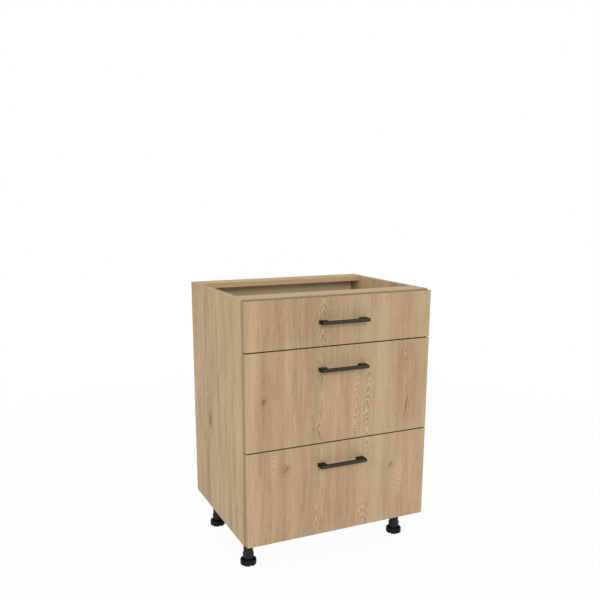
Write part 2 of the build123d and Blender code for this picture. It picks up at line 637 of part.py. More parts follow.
def drawer_box(drawer):
    """The boards of one drawer's box, by name."""
    low, high = box_low(drawer), box_low(drawer) + drawer.box_height
    bottom_low, bottom_top = bottom_span(drawer)
    groove_edge = BOX_INNER_X + BOX_GROOVE_DEPTH
    groove_front = FRONT_BACK + BOX_BOARD - BOX_GROOVE_DEPTH
    groove_height = (bottom_low - GROOVE_CLEARANCE, bottom_top + GROOVE_CLEARANCE)
    groove = block((-groove_edge, groove_edge), (groove_front, BOX_BACK), groove_height)
    corner_holes = [
        hole for side in SIDES.values()
        for hole in holes(CORNER_SCREW, corner_seats(drawer, side), (-side, 0, 0))
    ]
    thin_edge = groove_edge - GROOVE_CLEARANCE
    bottom_holes = holes(BOTTOM_SCREW, bottom_screw_seats(drawer), (0, 0, 1))
    boards = {}
    for name, side in SIDES.items():
        board = edged(block((side * BOX_INNER_X, side * BOX_X), (FRONT_BACK, BOX_BACK), (low, high)), Axis.Y)
        runner_holes = holes(DRAWER_RUNNER_SCREW, drawer_runner_seats(side, low), (-side, 0, 0))
        boards["box_" + name] = board - groove - corner_holes - runner_holes
    width = (-BOX_INNER_X, BOX_INNER_X)
    front = edged(block(width, (FRONT_BACK, FRONT_BACK + BOX_BOARD), (low, high)), Axis.X)
    front_holes = holes(FRONT_SCREW, front_screw_seats(drawer), (0, -1, 0))
    boards["box_front"] = front - groove - corner_holes - front_holes
    back = edged(block(width, (BOX_BACK - BOX_BOARD, BOX_BACK), (bottom_top, high)), Axis.X)
    boards["box_back"] = back - corner_holes - bottom_holes
    thin_depth = (groove_front + GROOVE_CLEARANCE, BOX_BACK)
    thin = block((-thin_edge, thin_edge), thin_depth, (bottom_low, bottom_top))
    boards["box_bottom"] = thin - bottom_holes
    return boards


def drawer_screws(drawer):
    """Every screw that moves with a drawer."""
    low = box_low(drawer)
    found = [screw(HANDLE_SCREW, seat, (0, -1, 0)) for seat in handle_seats(drawer)]
    found += [screw(FRONT_SCREW, seat, (0, -1, 0)) for seat in front_screw_seats(drawer)]
    found += [screw(BOTTOM_SCREW, seat, (0, 0, 1)) for seat in bottom_screw_seats(drawer)]
    for side in SIDES.values():
        found += [screw(CORNER_SCREW, seat, (-side, 0, 0)) for seat in corner_seats(drawer, side)]
        found += [screw(DRAWER_RUNNER_SCREW, seat, (-side, 0, 0)) for seat in drawer_runner_seats(side, low)]
    return found


for drawer in DRAWERS:
    parts[drawer.name + "_drawer_front"] = drawer_front(drawer)
    parts[drawer.name + "_drawer_handle"] = handle(drawer)
    parts[drawer.name + "_drawer_screws"] = drawer_screws(drawer)
    for name, board in drawer_box(drawer).items():
        parts[drawer.name + "_drawer_" + name] = board

os.makedirs("parts", exist_ok=True)
for name, shape in parts.items():
    piece = Compound(children=shape) if isinstance(shape, list) else shape
    export_step(piece, os.path.join("parts", name + ".step"))
    print(name)
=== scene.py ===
from math import cos, pi, radians, sin, tan

import bmesh
import bpy
from bpy.props import FloatProperty, FloatVectorProperty, IntProperty, PointerProperty
from mathutils import Matrix, Vector


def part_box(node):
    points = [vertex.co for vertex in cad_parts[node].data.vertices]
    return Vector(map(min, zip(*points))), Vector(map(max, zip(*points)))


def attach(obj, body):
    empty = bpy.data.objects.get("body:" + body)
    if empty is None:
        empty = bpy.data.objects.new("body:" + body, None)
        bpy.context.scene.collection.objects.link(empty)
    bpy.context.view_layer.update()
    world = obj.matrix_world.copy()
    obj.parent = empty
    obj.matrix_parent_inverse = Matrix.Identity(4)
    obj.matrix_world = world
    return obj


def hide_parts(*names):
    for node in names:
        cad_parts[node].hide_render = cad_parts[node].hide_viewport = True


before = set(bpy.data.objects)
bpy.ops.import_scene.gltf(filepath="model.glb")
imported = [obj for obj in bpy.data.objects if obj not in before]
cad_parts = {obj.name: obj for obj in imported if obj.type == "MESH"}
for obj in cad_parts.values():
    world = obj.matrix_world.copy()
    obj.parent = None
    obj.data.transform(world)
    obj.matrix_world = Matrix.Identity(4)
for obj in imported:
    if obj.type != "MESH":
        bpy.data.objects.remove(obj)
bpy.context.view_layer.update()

bl_info = {
    "name": "Oak drawer cabinet",
    "version": (1, 0, 0),
    "blender": (4, 5, 0),
    "location": "View3D > Sidebar > Cabinet",
    "description": "Dresses the packed kitchen base cabinet: oak decor, handles, legs, runners and studio",
    "category": "Object",
}

MM = 0.001
DRAWERS = ("top", "middle", "bottom")
LEGS = ("front_left", "front_right", "back_left", "back_right")
SIDE_SIGNS = (-1, 1)


# Settings: what a user would change

def linear(value):
    """A screen value from 0 to 255 as a linear share of light."""
    share = value / 255
    return share / 12.92 if share <= 0.04045 else ((share + 0.055) / 1.055) ** 2.4


def colour(name, description, red, green, blue):
    """A colour property whose default is written as it shows on a screen."""
    default = [linear(value) for value in (red, green, blue)]
    return FloatVectorProperty(
        name=name, description=description, subtype="COLOR", size=3, min=0, max=1, default=default
    )


def length(name, description, millimetres):
    """A length property whose default is written in millimetres."""
    return FloatProperty(
        name=name, description=description, unit="LENGTH", min=0, precision=5, default=millimetres * MM
    )


class OakFinish(bpy.types.PropertyGroup):
    """Colours of the oak decor, from the palest wood to the lines in it."""

    pale: colour("Pale wood", "Lightest stripes of the oak", 205, 181, 146)
    middle: colour("Middle wood", "Main colour of the oak", 183, 158, 122)
    brown: colour("Brown wood", "Darker stripes of the oak", 157, 132, 97)
    line: colour("Line", "Late wood lines and knots", 104, 78, 53)
    # The edge colour is partly painted shade: it darkens the fronts' level edges so the gaps between the
    # fronts read darker.
    edge: colour("Edge band", "Level edges of the drawer fronts", 128, 102, 70)
    inside: colour("Inside of the back panel", "Plain pale print on the inner face", 226, 205, 174)
    back: colour("Back of the back panel", "Raw brown face of the thin back panel", 150, 122, 90)


class FittingFinish(bpy.types.PropertyGroup):
    """Colours of the fittings and the drawer boxes."""

    box_board: colour("Drawer board", "Pale grey coated board of the drawer boxes", 214, 212, 206)
    handle_paint: colour("Handle", "Dark powder coat of the handles", 19, 17, 12)
    # Painted highlight: the lighter grey of the bars' front faces stands in for the lamp light that falls on
    # them.
    handle_face: colour("Handle face", "Brushed front face of the handles", 58, 54, 46)
    leg_plastic: colour("Leg", "Black plastic of the legs", 44, 44, 44)
    foot_plastic: colour("Foot", "Black plastic of the feet", 34, 34, 34)
    dust: colour("Dust", "Fine dust that settles on dark plastic", 120, 116, 108)
    runner_paint: colour("Runner", "White powder coat of the runners", 222, 222, 217)
    nylon: colour("Roller", "White nylon of the rollers", 228, 226, 218)
    zinc: colour("Zinc", "Bright zinc plating of screws and bolts", 196, 196, 192)
    cast_zinc: colour("Cast zinc", "Dull grey of the cast locks", 160, 160, 161)
    beech: colour("Dowel", "Plain beech of the dowels", 206, 177, 134)


class HandleSizes(bpy.types.PropertyGroup):
    """Sizes of a bar handle. Its length, height and reach come from the frame."""

    bar: length("Bar depth", "Depth of the bar from front to back", 8)
    foot: length("Foot width", "Width of the block at each end", 23)
    inner_round: length("Inner rounding", "Rounding between bar and foot", 2)
    edge: length("Edge rounding", "Rounding of the outer edges", 0.8)


class LegSizes(bpy.types.PropertyGroup):
    """Sizes of a leg, measured from its own axis and from the floor."""

    tube: length("Tube radius", "Outer radius of the tube", 14.6)
    collar: length("Collar radius", "Outer radius of the collar", 17.1)
    sleeve: length("Sleeve radius", "Outer radius of the sleeve below the collar", 16.4)
    sleeve_top: length("Sleeve top", "Height at which the collar begins", 33)
    collar_top: length("Collar top", "Height at which the collar's slope begins", 36)
    collar_slope: length("Collar slope", "Height of the slope between collar and tube", 4)
    bore: length("Bore radius", "Radius of the threaded bore", 10)
    bore_top: length("Bore top", "Height at which the threaded bore ends", 66)
    spigot_bore: length("Spigot bore radius", "Radius of the bore over the socket's spigot", 11.2)
    spigot_low: length("Spigot bore end", "Height at which the spigot's bore ends", 73)
    foot_height: length("Foot height", "Height of the cup", 16)
    foot_base: length("Foot base", "Thickness of the cup's floor", 6)
    foot_wall: length("Foot wall", "Thickness of the cup's wall", 5)
    foot_bevel: length("Foot bevel", "Bevel round the foot's lower edge", 2)
    rim_bevel: length("Rim bevel", "Bevel round the cup's rim", 1)
    notch_width: length("Notch width", "Width of a grip notch", 5)
    notch_height: length("Notch height", "Height of a grip notch", 13)
    notch_depth: length("Notch depth", "Depth of a grip notch", 3.5)
    undercut_height: length("Undercut height", "Height of the deep end of a notch in the base", 5)
    undercut_depth: length("Undercut depth", "Depth of the deep end of a notch in the base", 8)
    thread_core: length("Thread core", "Radius of the spindle between the threads", 8.8)
    thread_bead: length("Thread bead", "How far the round thread stands out", 1.0)
    thread_pitch: length("Thread pitch", "Rise of the thread in one turn", 3.2)
    notches: IntProperty(name="Notches", description="Grip notches round a foot", default=6, min=3)


class RunnerSizes(bpy.types.PropertyGroup):
    """Sizes of the bent sheet runners and their rollers."""

    sheet: length("Sheet", "Thickness of the steel sheet", 1.2)
    channel: length("Channel height", "Height of the cabinet runner", 20)
    bend: length("Channel bend", "Radius of the cabinet runner's bends", 1.4)
    flange: length("Flange", "Width of the cabinet runner's flanges", 10)
    open_end: length("Open end", "Front length without upper flange, where the roller stands", 23.5)
    tab_place: length("Tab place", "From the front end to the tab that stops the drawer", 73.5)
    tab_height: length("Tab height", "How far the tab hangs into the channel", 5.2)
    track: length("Track width", "Width of the drawer runner's track", 10.5)
    track_bend: length("Track bend", "Radius of the drawer runner's bends", 1.2)
    support: length("Support width", "Width of the flange below the drawer's side", 13.2)
    slot_length: length("Slot length", "Length of a long hole in the web", 12)
    slot_height: length("Slot height", "Height of a long hole in the web", 4.5)
    track_slot_rise: length("Track slot place", "From the drawer runner's lower face to its long holes", 12)
    axle: length("Axle radius", "Radius of a roller's axle", 2.5)
    axle_head: length("Axle head radius", "Radius of an axle's head and collar", 4)
    front_axle: length("Front axle place", "From the cabinet runner's front end to its axle", 12)
    front_axle_rise: length("Front axle height", "From the cabinet runner's lower face to its axle", 12)
    rear_axle: length("Rear axle place", "From the drawer runner's rear end to its axle", 8)
    rear_axle_rise: length("Rear axle height", "From the drawer runner's lower face to its axle", 11.2)
    roller_width: length("Roller width", "Width of a roller", 6.5)
    roller_rim: length("Roller rim", "Thickness of a roller's rim", 1.5)
    hub: length("Hub radius", "Radius of a roller's hub", 4.7)
    roller_bore: length("Roller bore", "Radius of a roller's bore", 2.6)
    recess: length("Roller recess", "Depth of the recess in a roller's faces", 1.4)
    slots: IntProperty(name="Slots", description="Long holes in a runner's web", default=5, min=1)
    ribs: IntProperty(name="Ribs", description="Ribs in a roller's recess", default=6, min=3)


class StudioSettings(bpy.types.PropertyGroup):
    """Camera and light of the studio."""

    camera_place: FloatVectorProperty(
        name="Camera place", description="Where the camera stands", subtype="TRANSLATION", unit="LENGTH",
        size=3, precision=5, default=(-0.945825, -1.966079, 1.085649),
    )
    camera_turn: FloatProperty(
        name="Camera turn", description="Turn to the right from looking straight at the back",
        subtype="ANGLE", default=radians(24.27),
    )
    camera_tilt: FloatProperty(
        name="Camera tilt", description="Tilt below the horizon", subtype="ANGLE", default=radians(12.951),
    )
    camera_lens: FloatProperty(
        name="Lens", description="Focal length on a 36 mm sensor", unit="CAMERA", default=42.389,
    )
    camera_shift: FloatVectorProperty(
        name="Shift", description="Sideways and upward shift of the lens", size=2, default=(0.015, 0.1),
    )
    sky: FloatProperty(name="Sky", description="Even light from all round", default=0.65, min=0)
    key: FloatProperty(name="Key lamp", description="Soft lamp above the camera", default=16.8, min=0)
    left: FloatProperty(name="Left lamp", description="Large soft lamp on the left", default=34, min=0)
    right: FloatProperty(name="Right lamp", description="Large soft lamp on the right", default=22, min=0)
    floor: colour("Floor", "Pale floor", 243, 243, 242)
    floor_white: FloatProperty(
        name="Floor white", description="How much of the floor near the cabinet shows as plain white",
        subtype="FACTOR", default=0.955, min=0, max=1,
    )


class CabinetSettings(bpy.types.PropertyGroup):
    """All settings of the cabinet."""

    oak: PointerProperty(type=OakFinish)
    finish: PointerProperty(type=FittingFinish)
    handle: PointerProperty(type=HandleSizes)
    leg: PointerProperty(type=LegSizes)
    runner: PointerProperty(type=RunnerSizes)
    studio: PointerProperty(type=StudioSettings)


def settings():
    """The cabinet's settings in the scene."""
    return bpy.context.scene.cabinet


# Node trees: small helpers for joining nodes and writing sums of what varies over a surface

class Wire:
    """A node's output. Arithmetic on it adds Math nodes to its tree."""

    def __init__(self, tree, socket):
        self.tree = tree
        self.socket = socket

    def math(self, operation, *values, clamp=False):
        """What a Math node makes of this wire and other values."""
        node = self.tree.nodes.new("ShaderNodeMath")
        node.operation = operation
        node.use_clamp = clamp
        for socket, value in zip(node.inputs, (self, *values)):
            plug(self.tree, socket, value)
        return Wire(self.tree, node.outputs[0])

    def __add__(self, other):
        return self.math("ADD", other)

    def __sub__(self, other):
        return self.math("SUBTRACT", other)

    def __mul__(self, other):
        return self.math("MULTIPLY", other)

    def __truediv__(self, other):
        return self.math("DIVIDE", other)


def plug(tree, socket, value):
    """Joins a wire to a socket, or sets the socket's own value."""
    if isinstance(value, Wire):
        tree.links.new(value.socket, socket)
    else:
        socket.default_value = value


def give(tree, node, **values):
    """Joins wires to a node's inputs by label, or sets their own values."""
    for label, value in values.items():
        plug(tree, node.inputs[label.replace("_", " ")], value)


def add(tree, kind, inputs=None, **choices):
    """A new node with its choices made and its inputs joined."""
    node = tree.nodes.new(kind)
    for name, value in choices.items():
        setattr(node, name, value)
    for name, value in (inputs or {}).items():
        plug(tree, node.inputs[name], value)
    return node


def out(node, name=0):
    """One output of a node as a wire."""
    return Wire(node.id_data, node.outputs[name])


def vector(tree, **parts):
    """A vector from its X, Y and Z, each 0 if not given."""
    return out(add(tree, "ShaderNodeCombineXYZ", parts))


def split(tree, whole):
    """The X, Y and Z of a vector."""
    node = add(tree, "ShaderNodeSeparateXYZ", {"Vector": whole})
    return [out(node, axis) for axis in "XYZ"]


def spot(tree, kind="Object"):
    """The place on the piece or, as Normal, the way its surface faces."""
    return out(add(tree, "ShaderNodeTexCoord"), kind)


def place_mm(tree):
    """X, Y and Z of the place on the piece, in millimetres."""
    return [part * 1000.0 for part in split(tree, spot(tree))]


def facing(tree):
    """X, Y and Z of the way the surface faces."""
    return split(tree, spot(tree, "Normal"))


def square_to(part, least=0.7):
    """1 on the faces of a board that lie square to an axis, from that part of the way they face."""
    return part.math("ABSOLUTE").math("GREATER_THAN", least)


def specks(tree, place, scale, detail, roughness=0.5):
    """Smooth noise from 0 to 1 in all directions about a place."""
    inputs = {"Vector": place, "Scale": scale, "Detail": detail, "Roughness": roughness}
    return out(add(tree, "ShaderNodeTexNoise", inputs), "Fac")


def noise(tree, across, along, seed, detail=2.0, roughness=0.5):
    """Smooth noise from 0 to 1 over two measured directions."""
    return specks(tree, vector(tree, X=across, Y=along, Z=seed), 1.0, detail, roughness)


def step(tree, value, low, high):
    """A soft step from 0 at low to 1 at high."""
    node = add(
        tree, "ShaderNodeMapRange", {"Value": value, "From Min": low, "From Max": high},
        interpolation_type="SMOOTHSTEP",
    )
    return out(node, "Result")


def blend(tree, share, first, second):
    """A mix of two colours."""
    node = add(tree, "ShaderNodeMix", data_type="RGBA")
    for socket, value in zip((node.inputs[0], node.inputs[6], node.inputs[7]), (share, first, second)):
        plug(tree, socket, value if isinstance(value, (Wire, float)) else (*value, 1.0))
    return Wire(tree, node.outputs[2])


def toned(shown, share):
    """A colour made darker or lighter."""
    return tuple(share * part for part in shown)


def once(make):
    """A tree is made the first time it is asked for and then shared."""
    made = []

    def ask():
        if not made:
            made.append(make())
        return made[0]
    return ask


# Shader groups: effects that several materials share

def shader_group(name, inputs, outputs):
    """An empty shader group with named number sockets: the tree, its inputs as wires, its output node."""
    tree = bpy.data.node_groups.new(name, "ShaderNodeTree")
    for label, default in inputs.items():
        socket = tree.interface.new_socket(label, in_out="INPUT", socket_type="NodeSocketFloat")
        socket.default_value = default
    for label in outputs:
        tree.interface.new_socket(label, in_out="OUTPUT", socket_type="NodeSocketFloat")
    entry = tree.nodes.new("NodeGroupInput")
    given = {label: out(entry, label) for label in inputs}
    return tree, given, tree.nodes.new("NodeGroupOutput")


def use_group(tree, group, **inputs):
    """A shader group placed in a material, with its inputs given by label."""
    node = add(tree, "ShaderNodeGroup", node_tree=group())
    for label, value in inputs.items():
        plug(tree, node.inputs[label.replace("_", " ").title()], value)
    return node


@once
def upright_grain():
    """Grain directions of an upright board, in millimetres: up its faces and along each edge band."""
    inputs = {"Edge X": 0.0, "Edge Y": 0.0}
    tree, given, result = shader_group("upright_grain", inputs, ("Along", "Across"))
    x, y, z = place_mm(tree)
    flat = square_to(facing(tree)[2])
    upright = flat * -1.0 + 1.0
    give(
        tree, result, Along=z * upright + (x * given["Edge X"] + y * given["Edge Y"]) * flat,
        Across=(x + y) * upright + (y * given["Edge X"] + x * given["Edge Y"]) * flat,
    )
    return tree


# Marks in the oak: their width across the grain and their length along it, in millimetres
WANDER_SIZE = (60.0, 260.0)
BROAD_SIZE = (30.0, 340.0)
STRIPE_SIZE = (5.2, 130.0)
FLECK_SIZE = (2.3, 24.0)
FIBRE_SIZE = (1.3, 30.0)
PORE_SIZE = (0.8, 9.0)
TINT_SIZE = (24.0, 500.0)
WANDER = 16.0


@once
def oak_grain():
    """Stripes, flecks, fibres and pores of oak over two directions in millimetres."""
    inputs = {"Along": 0.0, "Across": 0.0, "Seed": 0.0}
    tree, given, result = shader_group("oak_grain", inputs, ("Tone", "Tint", "Height"))

    def marks(across, size, seed, *detail):
        width, long = size
        return noise(tree, across / width, given["Along"] / long, given["Seed"] + seed, *detail)

    across = given["Across"] + (marks(given["Across"], WANDER_SIZE, 0.0) - 0.5) * WANDER
    broad = marks(across, BROAD_SIZE, 3.1) - 0.5
    stripe = marks(across, STRIPE_SIZE, 7.3, 3.0, 0.62) - 0.5
    fibre = marks(across, FIBRE_SIZE, 11.7) - 0.5
    fleck = step(tree, marks(across, FLECK_SIZE, 15.5), 0.54, 0.72)
    pores = step(tree, marks(across, PORE_SIZE, 19.2, 1.0), 0.6, 0.74)
    tone = broad * 0.36 + stripe * 0.36 + fibre * 0.24 - (fleck - 0.16) * 0.09 - (pores - 0.1) * 0.05
    give(
        tree, result, Tone=tone, Tint=marks(across, TINT_SIZE, 29.4, 1.0) - 0.5,
        Height=stripe * 0.5 + fibre * 0.4 - fleck * 0.5 - pores,
    )
    return tree


@once
def heart_figure():
    """Late wood lines of a flat sawn stave. The board cuts the rings at a depth that changes along it,
    so they show as nested arches in the middle and run straight beside it."""
    arch_power = 1.5
    line_power = 2.2
    sway_length = 130.0
    sway_width = 22.0
    ripple_size = (10.0, 24.0)
    fade = 25.0
    falloff = -1.3
    inputs = {
        "Along": 0.0, "Across": 0.0, "Centre": 0.0, "Width": 20.0, "Depth": 10.0, "Slope": 0.0,
        "Swing": 0.0, "Reach": 100.0, "Ring": 5.0, "Start": 0.0, "End": 900.0, "Spread": 0.0, "Wave": 0.3,
        "Seed": 0.0,
    }
    tree, given, result = shader_group("heart_figure", inputs, ("Lines", "Mask"))
    along = given["Along"]
    across = given["Across"]
    seed = given["Seed"]
    sway = noise(tree, along / sway_length, seed, 3.0, 1.0) - 0.5
    swing = noise(tree, along / given["Reach"], seed, 9.0, 1.0) - 0.5
    ripple = noise(tree, across / ripple_size[0], along / ripple_size[1], seed + 5.0) - 0.5
    off = across - given["Centre"] + sway * sway_width
    depth = given["Depth"] + given["Slope"] * (along - given["Start"]) + given["Swing"] * swing * 2.0
    bow = off.math("ABSOLUTE").math("POWER", arch_power) + depth.math("ABSOLUTE").math("POWER", arch_power)
    rings = bow.math("POWER", 1 / arch_power) / given["Ring"] + ripple * given["Wave"]
    share = off / (given["Width"] + given["Spread"] * (given["End"] - along))
    mask = (share * share * falloff).math("EXPONENT")
    mask = mask * step(tree, along, given["Start"] - fade, given["Start"] + fade)
    mask = mask * step(tree, along, given["End"] + fade, given["End"] - fade)
    give(tree, result, Lines=rings.math("FRACT").math("POWER", line_power) * mask, Mask=mask)
    return tree


@once
def knot():
    """A knot: the grain flows round it, and its heart is a dark leaning cleft in a soft halo."""
    cleft_narrow = 2.1
    cleft_ragged = 1.5
    cleft_dark = 0.45
    halo_squash = 0.4
    halo_ragged = 0.6
    reach = 10.0
    pull = 0.8
    inputs = {
        "Along": 0.0, "Across": 0.0, "Knot Along": 0.0, "Knot Across": 0.0, "Radius": 5.0, "Lean": 0.0,
        "Stretch": 1.35, "Halo": 0.22,
    }
    tree, given, result = shader_group("knot", inputs, ("Across", "Dark", "Rings"))
    radius = given["Radius"]
    up = given["Along"] - given["Knot Along"]
    side = given["Across"] - given["Knot Across"]
    rough = noise(tree, given["Across"] / 4.0, given["Along"] / 6.0, 4.0, 3.0) - 0.5
    cleft = (side - up * given["Lean"]) * cleft_narrow
    drawn = up / given["Stretch"]
    slim = (cleft * cleft + drawn * drawn).math("SQRT") / radius + rough * cleft_ragged
    squared = side * side + up * up * halo_squash
    distance = squared.math("SQRT") / radius + rough * halo_ragged
    near = (squared / (radius * radius * reach) * -1.0).math("EXPONENT")
    heart = step(tree, slim, 1.2, 0.3)
    halo = step(tree, distance, 2.6, 0.4)
    give(
        tree, result, Across=given["Across"] - side * near * pull,
        Dark=heart * cleft_dark + halo * given["Halo"],
        Rings=(distance * 1.1).math("FRACT").math("POWER", 3.0) * near,
    )
    return tree


@once
def moulded_skin():
    """Fine skin of a moulded or powder coated surface, with dust on what faces up."""
    cloud_scale = 38.0
    inputs = {"Grain": 900.0, "Seed": 0.0}
    tree, given, result = shader_group("moulded_skin", inputs, ("Grain", "Cloud", "Dust"))
    seeded = vector(tree, X=given["Seed"])
    place = out(add(tree, "ShaderNodeVectorMath", {0: spot(tree), 1: seeded}, operation="ADD"))
    cloud = specks(tree, place, cloud_scale, 4.0)
    upward = step(tree, facing(tree)[2], 0.25, 1.0)
    give(
        tree, result, Grain=specks(tree, place, given["Grain"], 2.0), Cloud=cloud,
        Dust=upward * step(tree, cloud, 0.35, 0.75),
    )
    return tree


@once
def brushed_lines():
    """Fine drawn lines of metal along X, and clouds in its shine."""
    tree, given, result = shader_group("brushed_lines", {"Seed": 0.0}, ("Lines", "Cloud"))
    x, y, z = place_mm(tree)
    give(
        tree, result, Lines=noise(tree, (y + z) * 4.0, x * 0.12, given["Seed"]),
        Cloud=noise(tree, (x + y) / 6.0, (z - y) / 6.0, given["Seed"] + 2.0, 3.0),
    )
    return tree


# Materials

def new_material(name, **constants):
    """A material, its tree and its Principled shader, whose own sockets take the constants."""
    material = bpy.data.materials.new(name)
    material.use_nodes = True
    shader = material.node_tree.nodes["Principled BSDF"]
    give(material.node_tree, shader, **constants)
    return material, material.node_tree, shader


def dress(tree, shader, shown, roughness, height, strength, distance=0.2 * MM):
    """Joins colour, roughness and a fine relief to a material's shader."""
    relief = add(tree, "ShaderNodeBump", {"Height": height, "Strength": strength, "Distance": distance})
    give(tree, shader, Base_Color=shown, Roughness=roughness, Normal=out(relief))


# Oak decor. Places are in millimetres: along is the height above the floor, and across is X + Y, which
# runs round the cabinet's corners. On the fronts, across is measured from the middle of the cabinet.

FRONT_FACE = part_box("top_drawer_front")[0].y / MM
LEFT_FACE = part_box("left_side_panel")[0].x / MM
RIGHT_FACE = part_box("right_side_panel")[1].x / MM

# How softly staves meet, how far an arch's lines fade beside it, and how knots and tints show in the oak
STAVE_BLEND = 7
ARCH_MARGIN = 1.25
PLAIN_LIFT = 0.28
KNOT_RINGS = 0.16
KNOT_DARK = 0.6
HUE_MIDDLE = 0.499
HUE_SWING = 0.009
RICH_SWING = 0.04


def arch(centre, foot, crown, wide, ring, seed, force):
    """A figure of nested arches, from the heights of their feet and crown and their half width."""
    slope = wide / (crown - foot)
    start = min(foot, crown)
    return dict(
        centre=centre, width=wide * ARCH_MARGIN, depth=slope * (start - foot), slope=slope, ring=ring,
        start=start, end=max(foot, crown), wave=1.4, seed=seed, force=force, lift=0.2,
    )


def brown_patch(centre, width, start, end, seed, lift):
    """A browner patch of a stave with hardly any lines in it."""
    return dict(
        centre=centre, width=width, depth=40, swing=10, reach=90, ring=9.0, start=start, end=end, wave=0.5,
        seed=seed, force=0.03, lift=lift,
    )


# Where a new stave begins, and how much lighter and yellower it is than the one before
FRONT_STAVES = (
    (-262, -0.10, -0.10), (-179, 0.05, 0.15), (-150, -0.05, -0.20), (-84, 0.02, 0.20), (-46, 0.0, -0.30),
    (34, 0.01, -0.05), (60, 0.04, 0.15), (117, 0.06, 0.30), (150, -0.06, -0.25), (186, -0.04, -0.15),
    (228, 0.02, 0.0), (262, 0.04, 0.10),
)

# Figures: how deep below the board the heart of the rings lies and how that changes, how far apart the
# rings are, how strongly their lines show (force) and how much lighter the wood between them is (lift)
FRONT_FIGURES = (
    dict(centre=-64, width=20, depth=14, swing=12, reach=90, ring=6.4, wave=0.3, seed=1.0, force=0.2),
    arch(-60, 752, 820, 23, 8.2, 1.3, 0.36),
    arch(-62, 664, 738, 21, 7.4, 1.6, 0.34),
    arch(-67, 556, 620, 11, 6.0, 1.9, 0.28),
    arch(-71, 384, 472, 16, 7.0, 2.2, 0.36),
    arch(-76, 100, 188, 13, 6.4, 2.5, 0.34),
    dict(
        centre=88, width=8, spread=0.16, depth=30, slope=0.2, swing=5, reach=40, ring=4.6, start=345,
        end=588, wave=1.2, seed=2.0, force=0.48, lift=0.4,
    ),
    dict(
        centre=50, width=9, spread=0.05, depth=40, slope=0.26, swing=8, reach=30, ring=4.9, start=385,
        end=600, wave=1.7, seed=6.0, force=0.44, lift=0.4,
    ),
    arch(80, 112, 174, 34, 13.0, 3.0, 0.3),
    dict(centre=214, width=15, depth=7, swing=9, reach=150, ring=5.2, wave=0.25, seed=4.0, force=0.26),
    arch(218, 662, 588, 17, 6.4, 4.4, 0.36),
    dict(
        centre=206, width=16, depth=10, slope=0.36, swing=4, reach=50, ring=5.6, start=190, end=300,
        wave=0.8, seed=5.0, force=-0.5, lift=0.0,
    ),
    dict(
        centre=-214, width=19, depth=8, slope=0.3, swing=8, reach=40, ring=6.0, start=300, end=378,
        wave=1.0, seed=7.0, force=0.4, lift=0.5,
    ),
    brown_patch(-170, 120, 690, 900, 11.0, -1.8),
    brown_patch(212, 55, 415, 670, 12.0, -1.9),
    brown_patch(-104, 14, 400, 670, 13.0, -1.5),
)
FRONT_KNOTS = (
    dict(knot_along=535, knot_across=-243, radius=4.5, lean=-0.1),
    dict(knot_along=324, knot_across=-177, radius=8.0, lean=0.75),
    dict(knot_along=287, knot_across=175, radius=5.0, lean=0.4),
    dict(knot_along=468, knot_across=223, radius=4.5, lean=0.18, stretch=13.0, halo=0.0),
)
SIDE_FIGURES = (
    dict(
        centre=LEFT_FACE - 174, width=26, depth=6, swing=10, reach=60, ring=6.4, wave=0.3, seed=8.0,
        force=0.3, lift=0.7,
    ),
    dict(
        centre=LEFT_FACE - 45, width=18, depth=9, swing=14, reach=110, ring=6.0, wave=0.3, seed=8.0,
        force=0.22,
    ),
    dict(
        centre=LEFT_FACE + 110, width=30, depth=12, swing=18, reach=140, ring=6.4, wave=0.3, seed=8.4,
        force=0.28, lift=0.0,
    ),
    dict(
        centre=RIGHT_FACE - 54, width=19, depth=9, swing=13, reach=90, ring=5.6, wave=0.4, seed=9.0,
        force=0.28,
    ),
)
SIDE_KNOTS = (
    dict(knot_along=399, knot_across=LEFT_FACE + 89, radius=9.0, lean=0.0, stretch=3.2, halo=0.3),
    dict(knot_along=335, knot_across=LEFT_FACE + 137, radius=8.0, lean=0.1, stretch=2.6, halo=0.3),
    dict(knot_along=192, knot_across=LEFT_FACE - 150, radius=4.0, lean=0.1, stretch=3.0),
    dict(knot_along=560, knot_across=RIGHT_FACE + 102, radius=6.0, lean=0.3),
)


def oak_ramp(tree, tone):
    """Colour of the oak from its tone, from the lines at 0 to the palest wood near 1."""
    oak = settings().oak
    ramp = add(tree, "ShaderNodeValToRGB", {"Fac": tone})
    stops = ((0.0, oak.line), (0.3, oak.brown), (0.52, oak.middle), (0.95, oak.pale))
    elements = ramp.color_ramp.elements
    while len(elements) < len(stops):
        elements.new(0.5)
    for element, (position, shown) in zip(elements, stops):
        element.position = position
        element.color = (*shown, 1.0)
    return out(ramp, "Color")


def oak_look(
    tree, along, across, seed, middle=0.0, staves=(), figures=(), knots=(), contrast=1.0, rich=1.01,
    pale=0.0,
):
    """Oak over two grain directions, as its colour and its relief: knots bend the grain, then stripes,
    staves and figures make its tone."""
    dark = None
    for place in knots:
        shifted = dict(place, knot_across=place["knot_across"] + middle)
        node = use_group(tree, knot, along=along, across=across, **shifted)
        across = out(node, "Across")
        part = out(node, "Dark") + out(node, "Rings") * KNOT_RINGS
        dark = part if dark is None else dark + part
    grain = use_group(tree, oak_grain, along=along, across=across, seed=seed)
    tone = out(grain, "Tone") * contrast + (0.5 + pale)
    tint = out(grain, "Tint")
    for edge, lighter, yellower in staves:
        begun = step(tree, across, edge + middle - STAVE_BLEND, edge + middle + STAVE_BLEND)
        tone = tone + begun * lighter
        tint = tint + begun * yellower
    for figure in figures:
        values = dict(figure, centre=figure["centre"] + middle)
        force = values.pop("force")
        lift = values.pop("lift", PLAIN_LIFT)
        node = use_group(tree, heart_figure, along=along, across=across, **values)
        tone = tone + out(node, "Mask") * (force * lift) - out(node, "Lines") * force
    if dark is not None:
        tone = tone - dark * KNOT_DARK
    tinted = add(tree, "ShaderNodeHueSaturation", {
        "Color": oak_ramp(tree, tone), "Hue": tint * HUE_SWING + HUE_MIDDLE,
        "Saturation": tint * RICH_SWING + rich,
    })
    return out(tinted), out(grain, "Height")


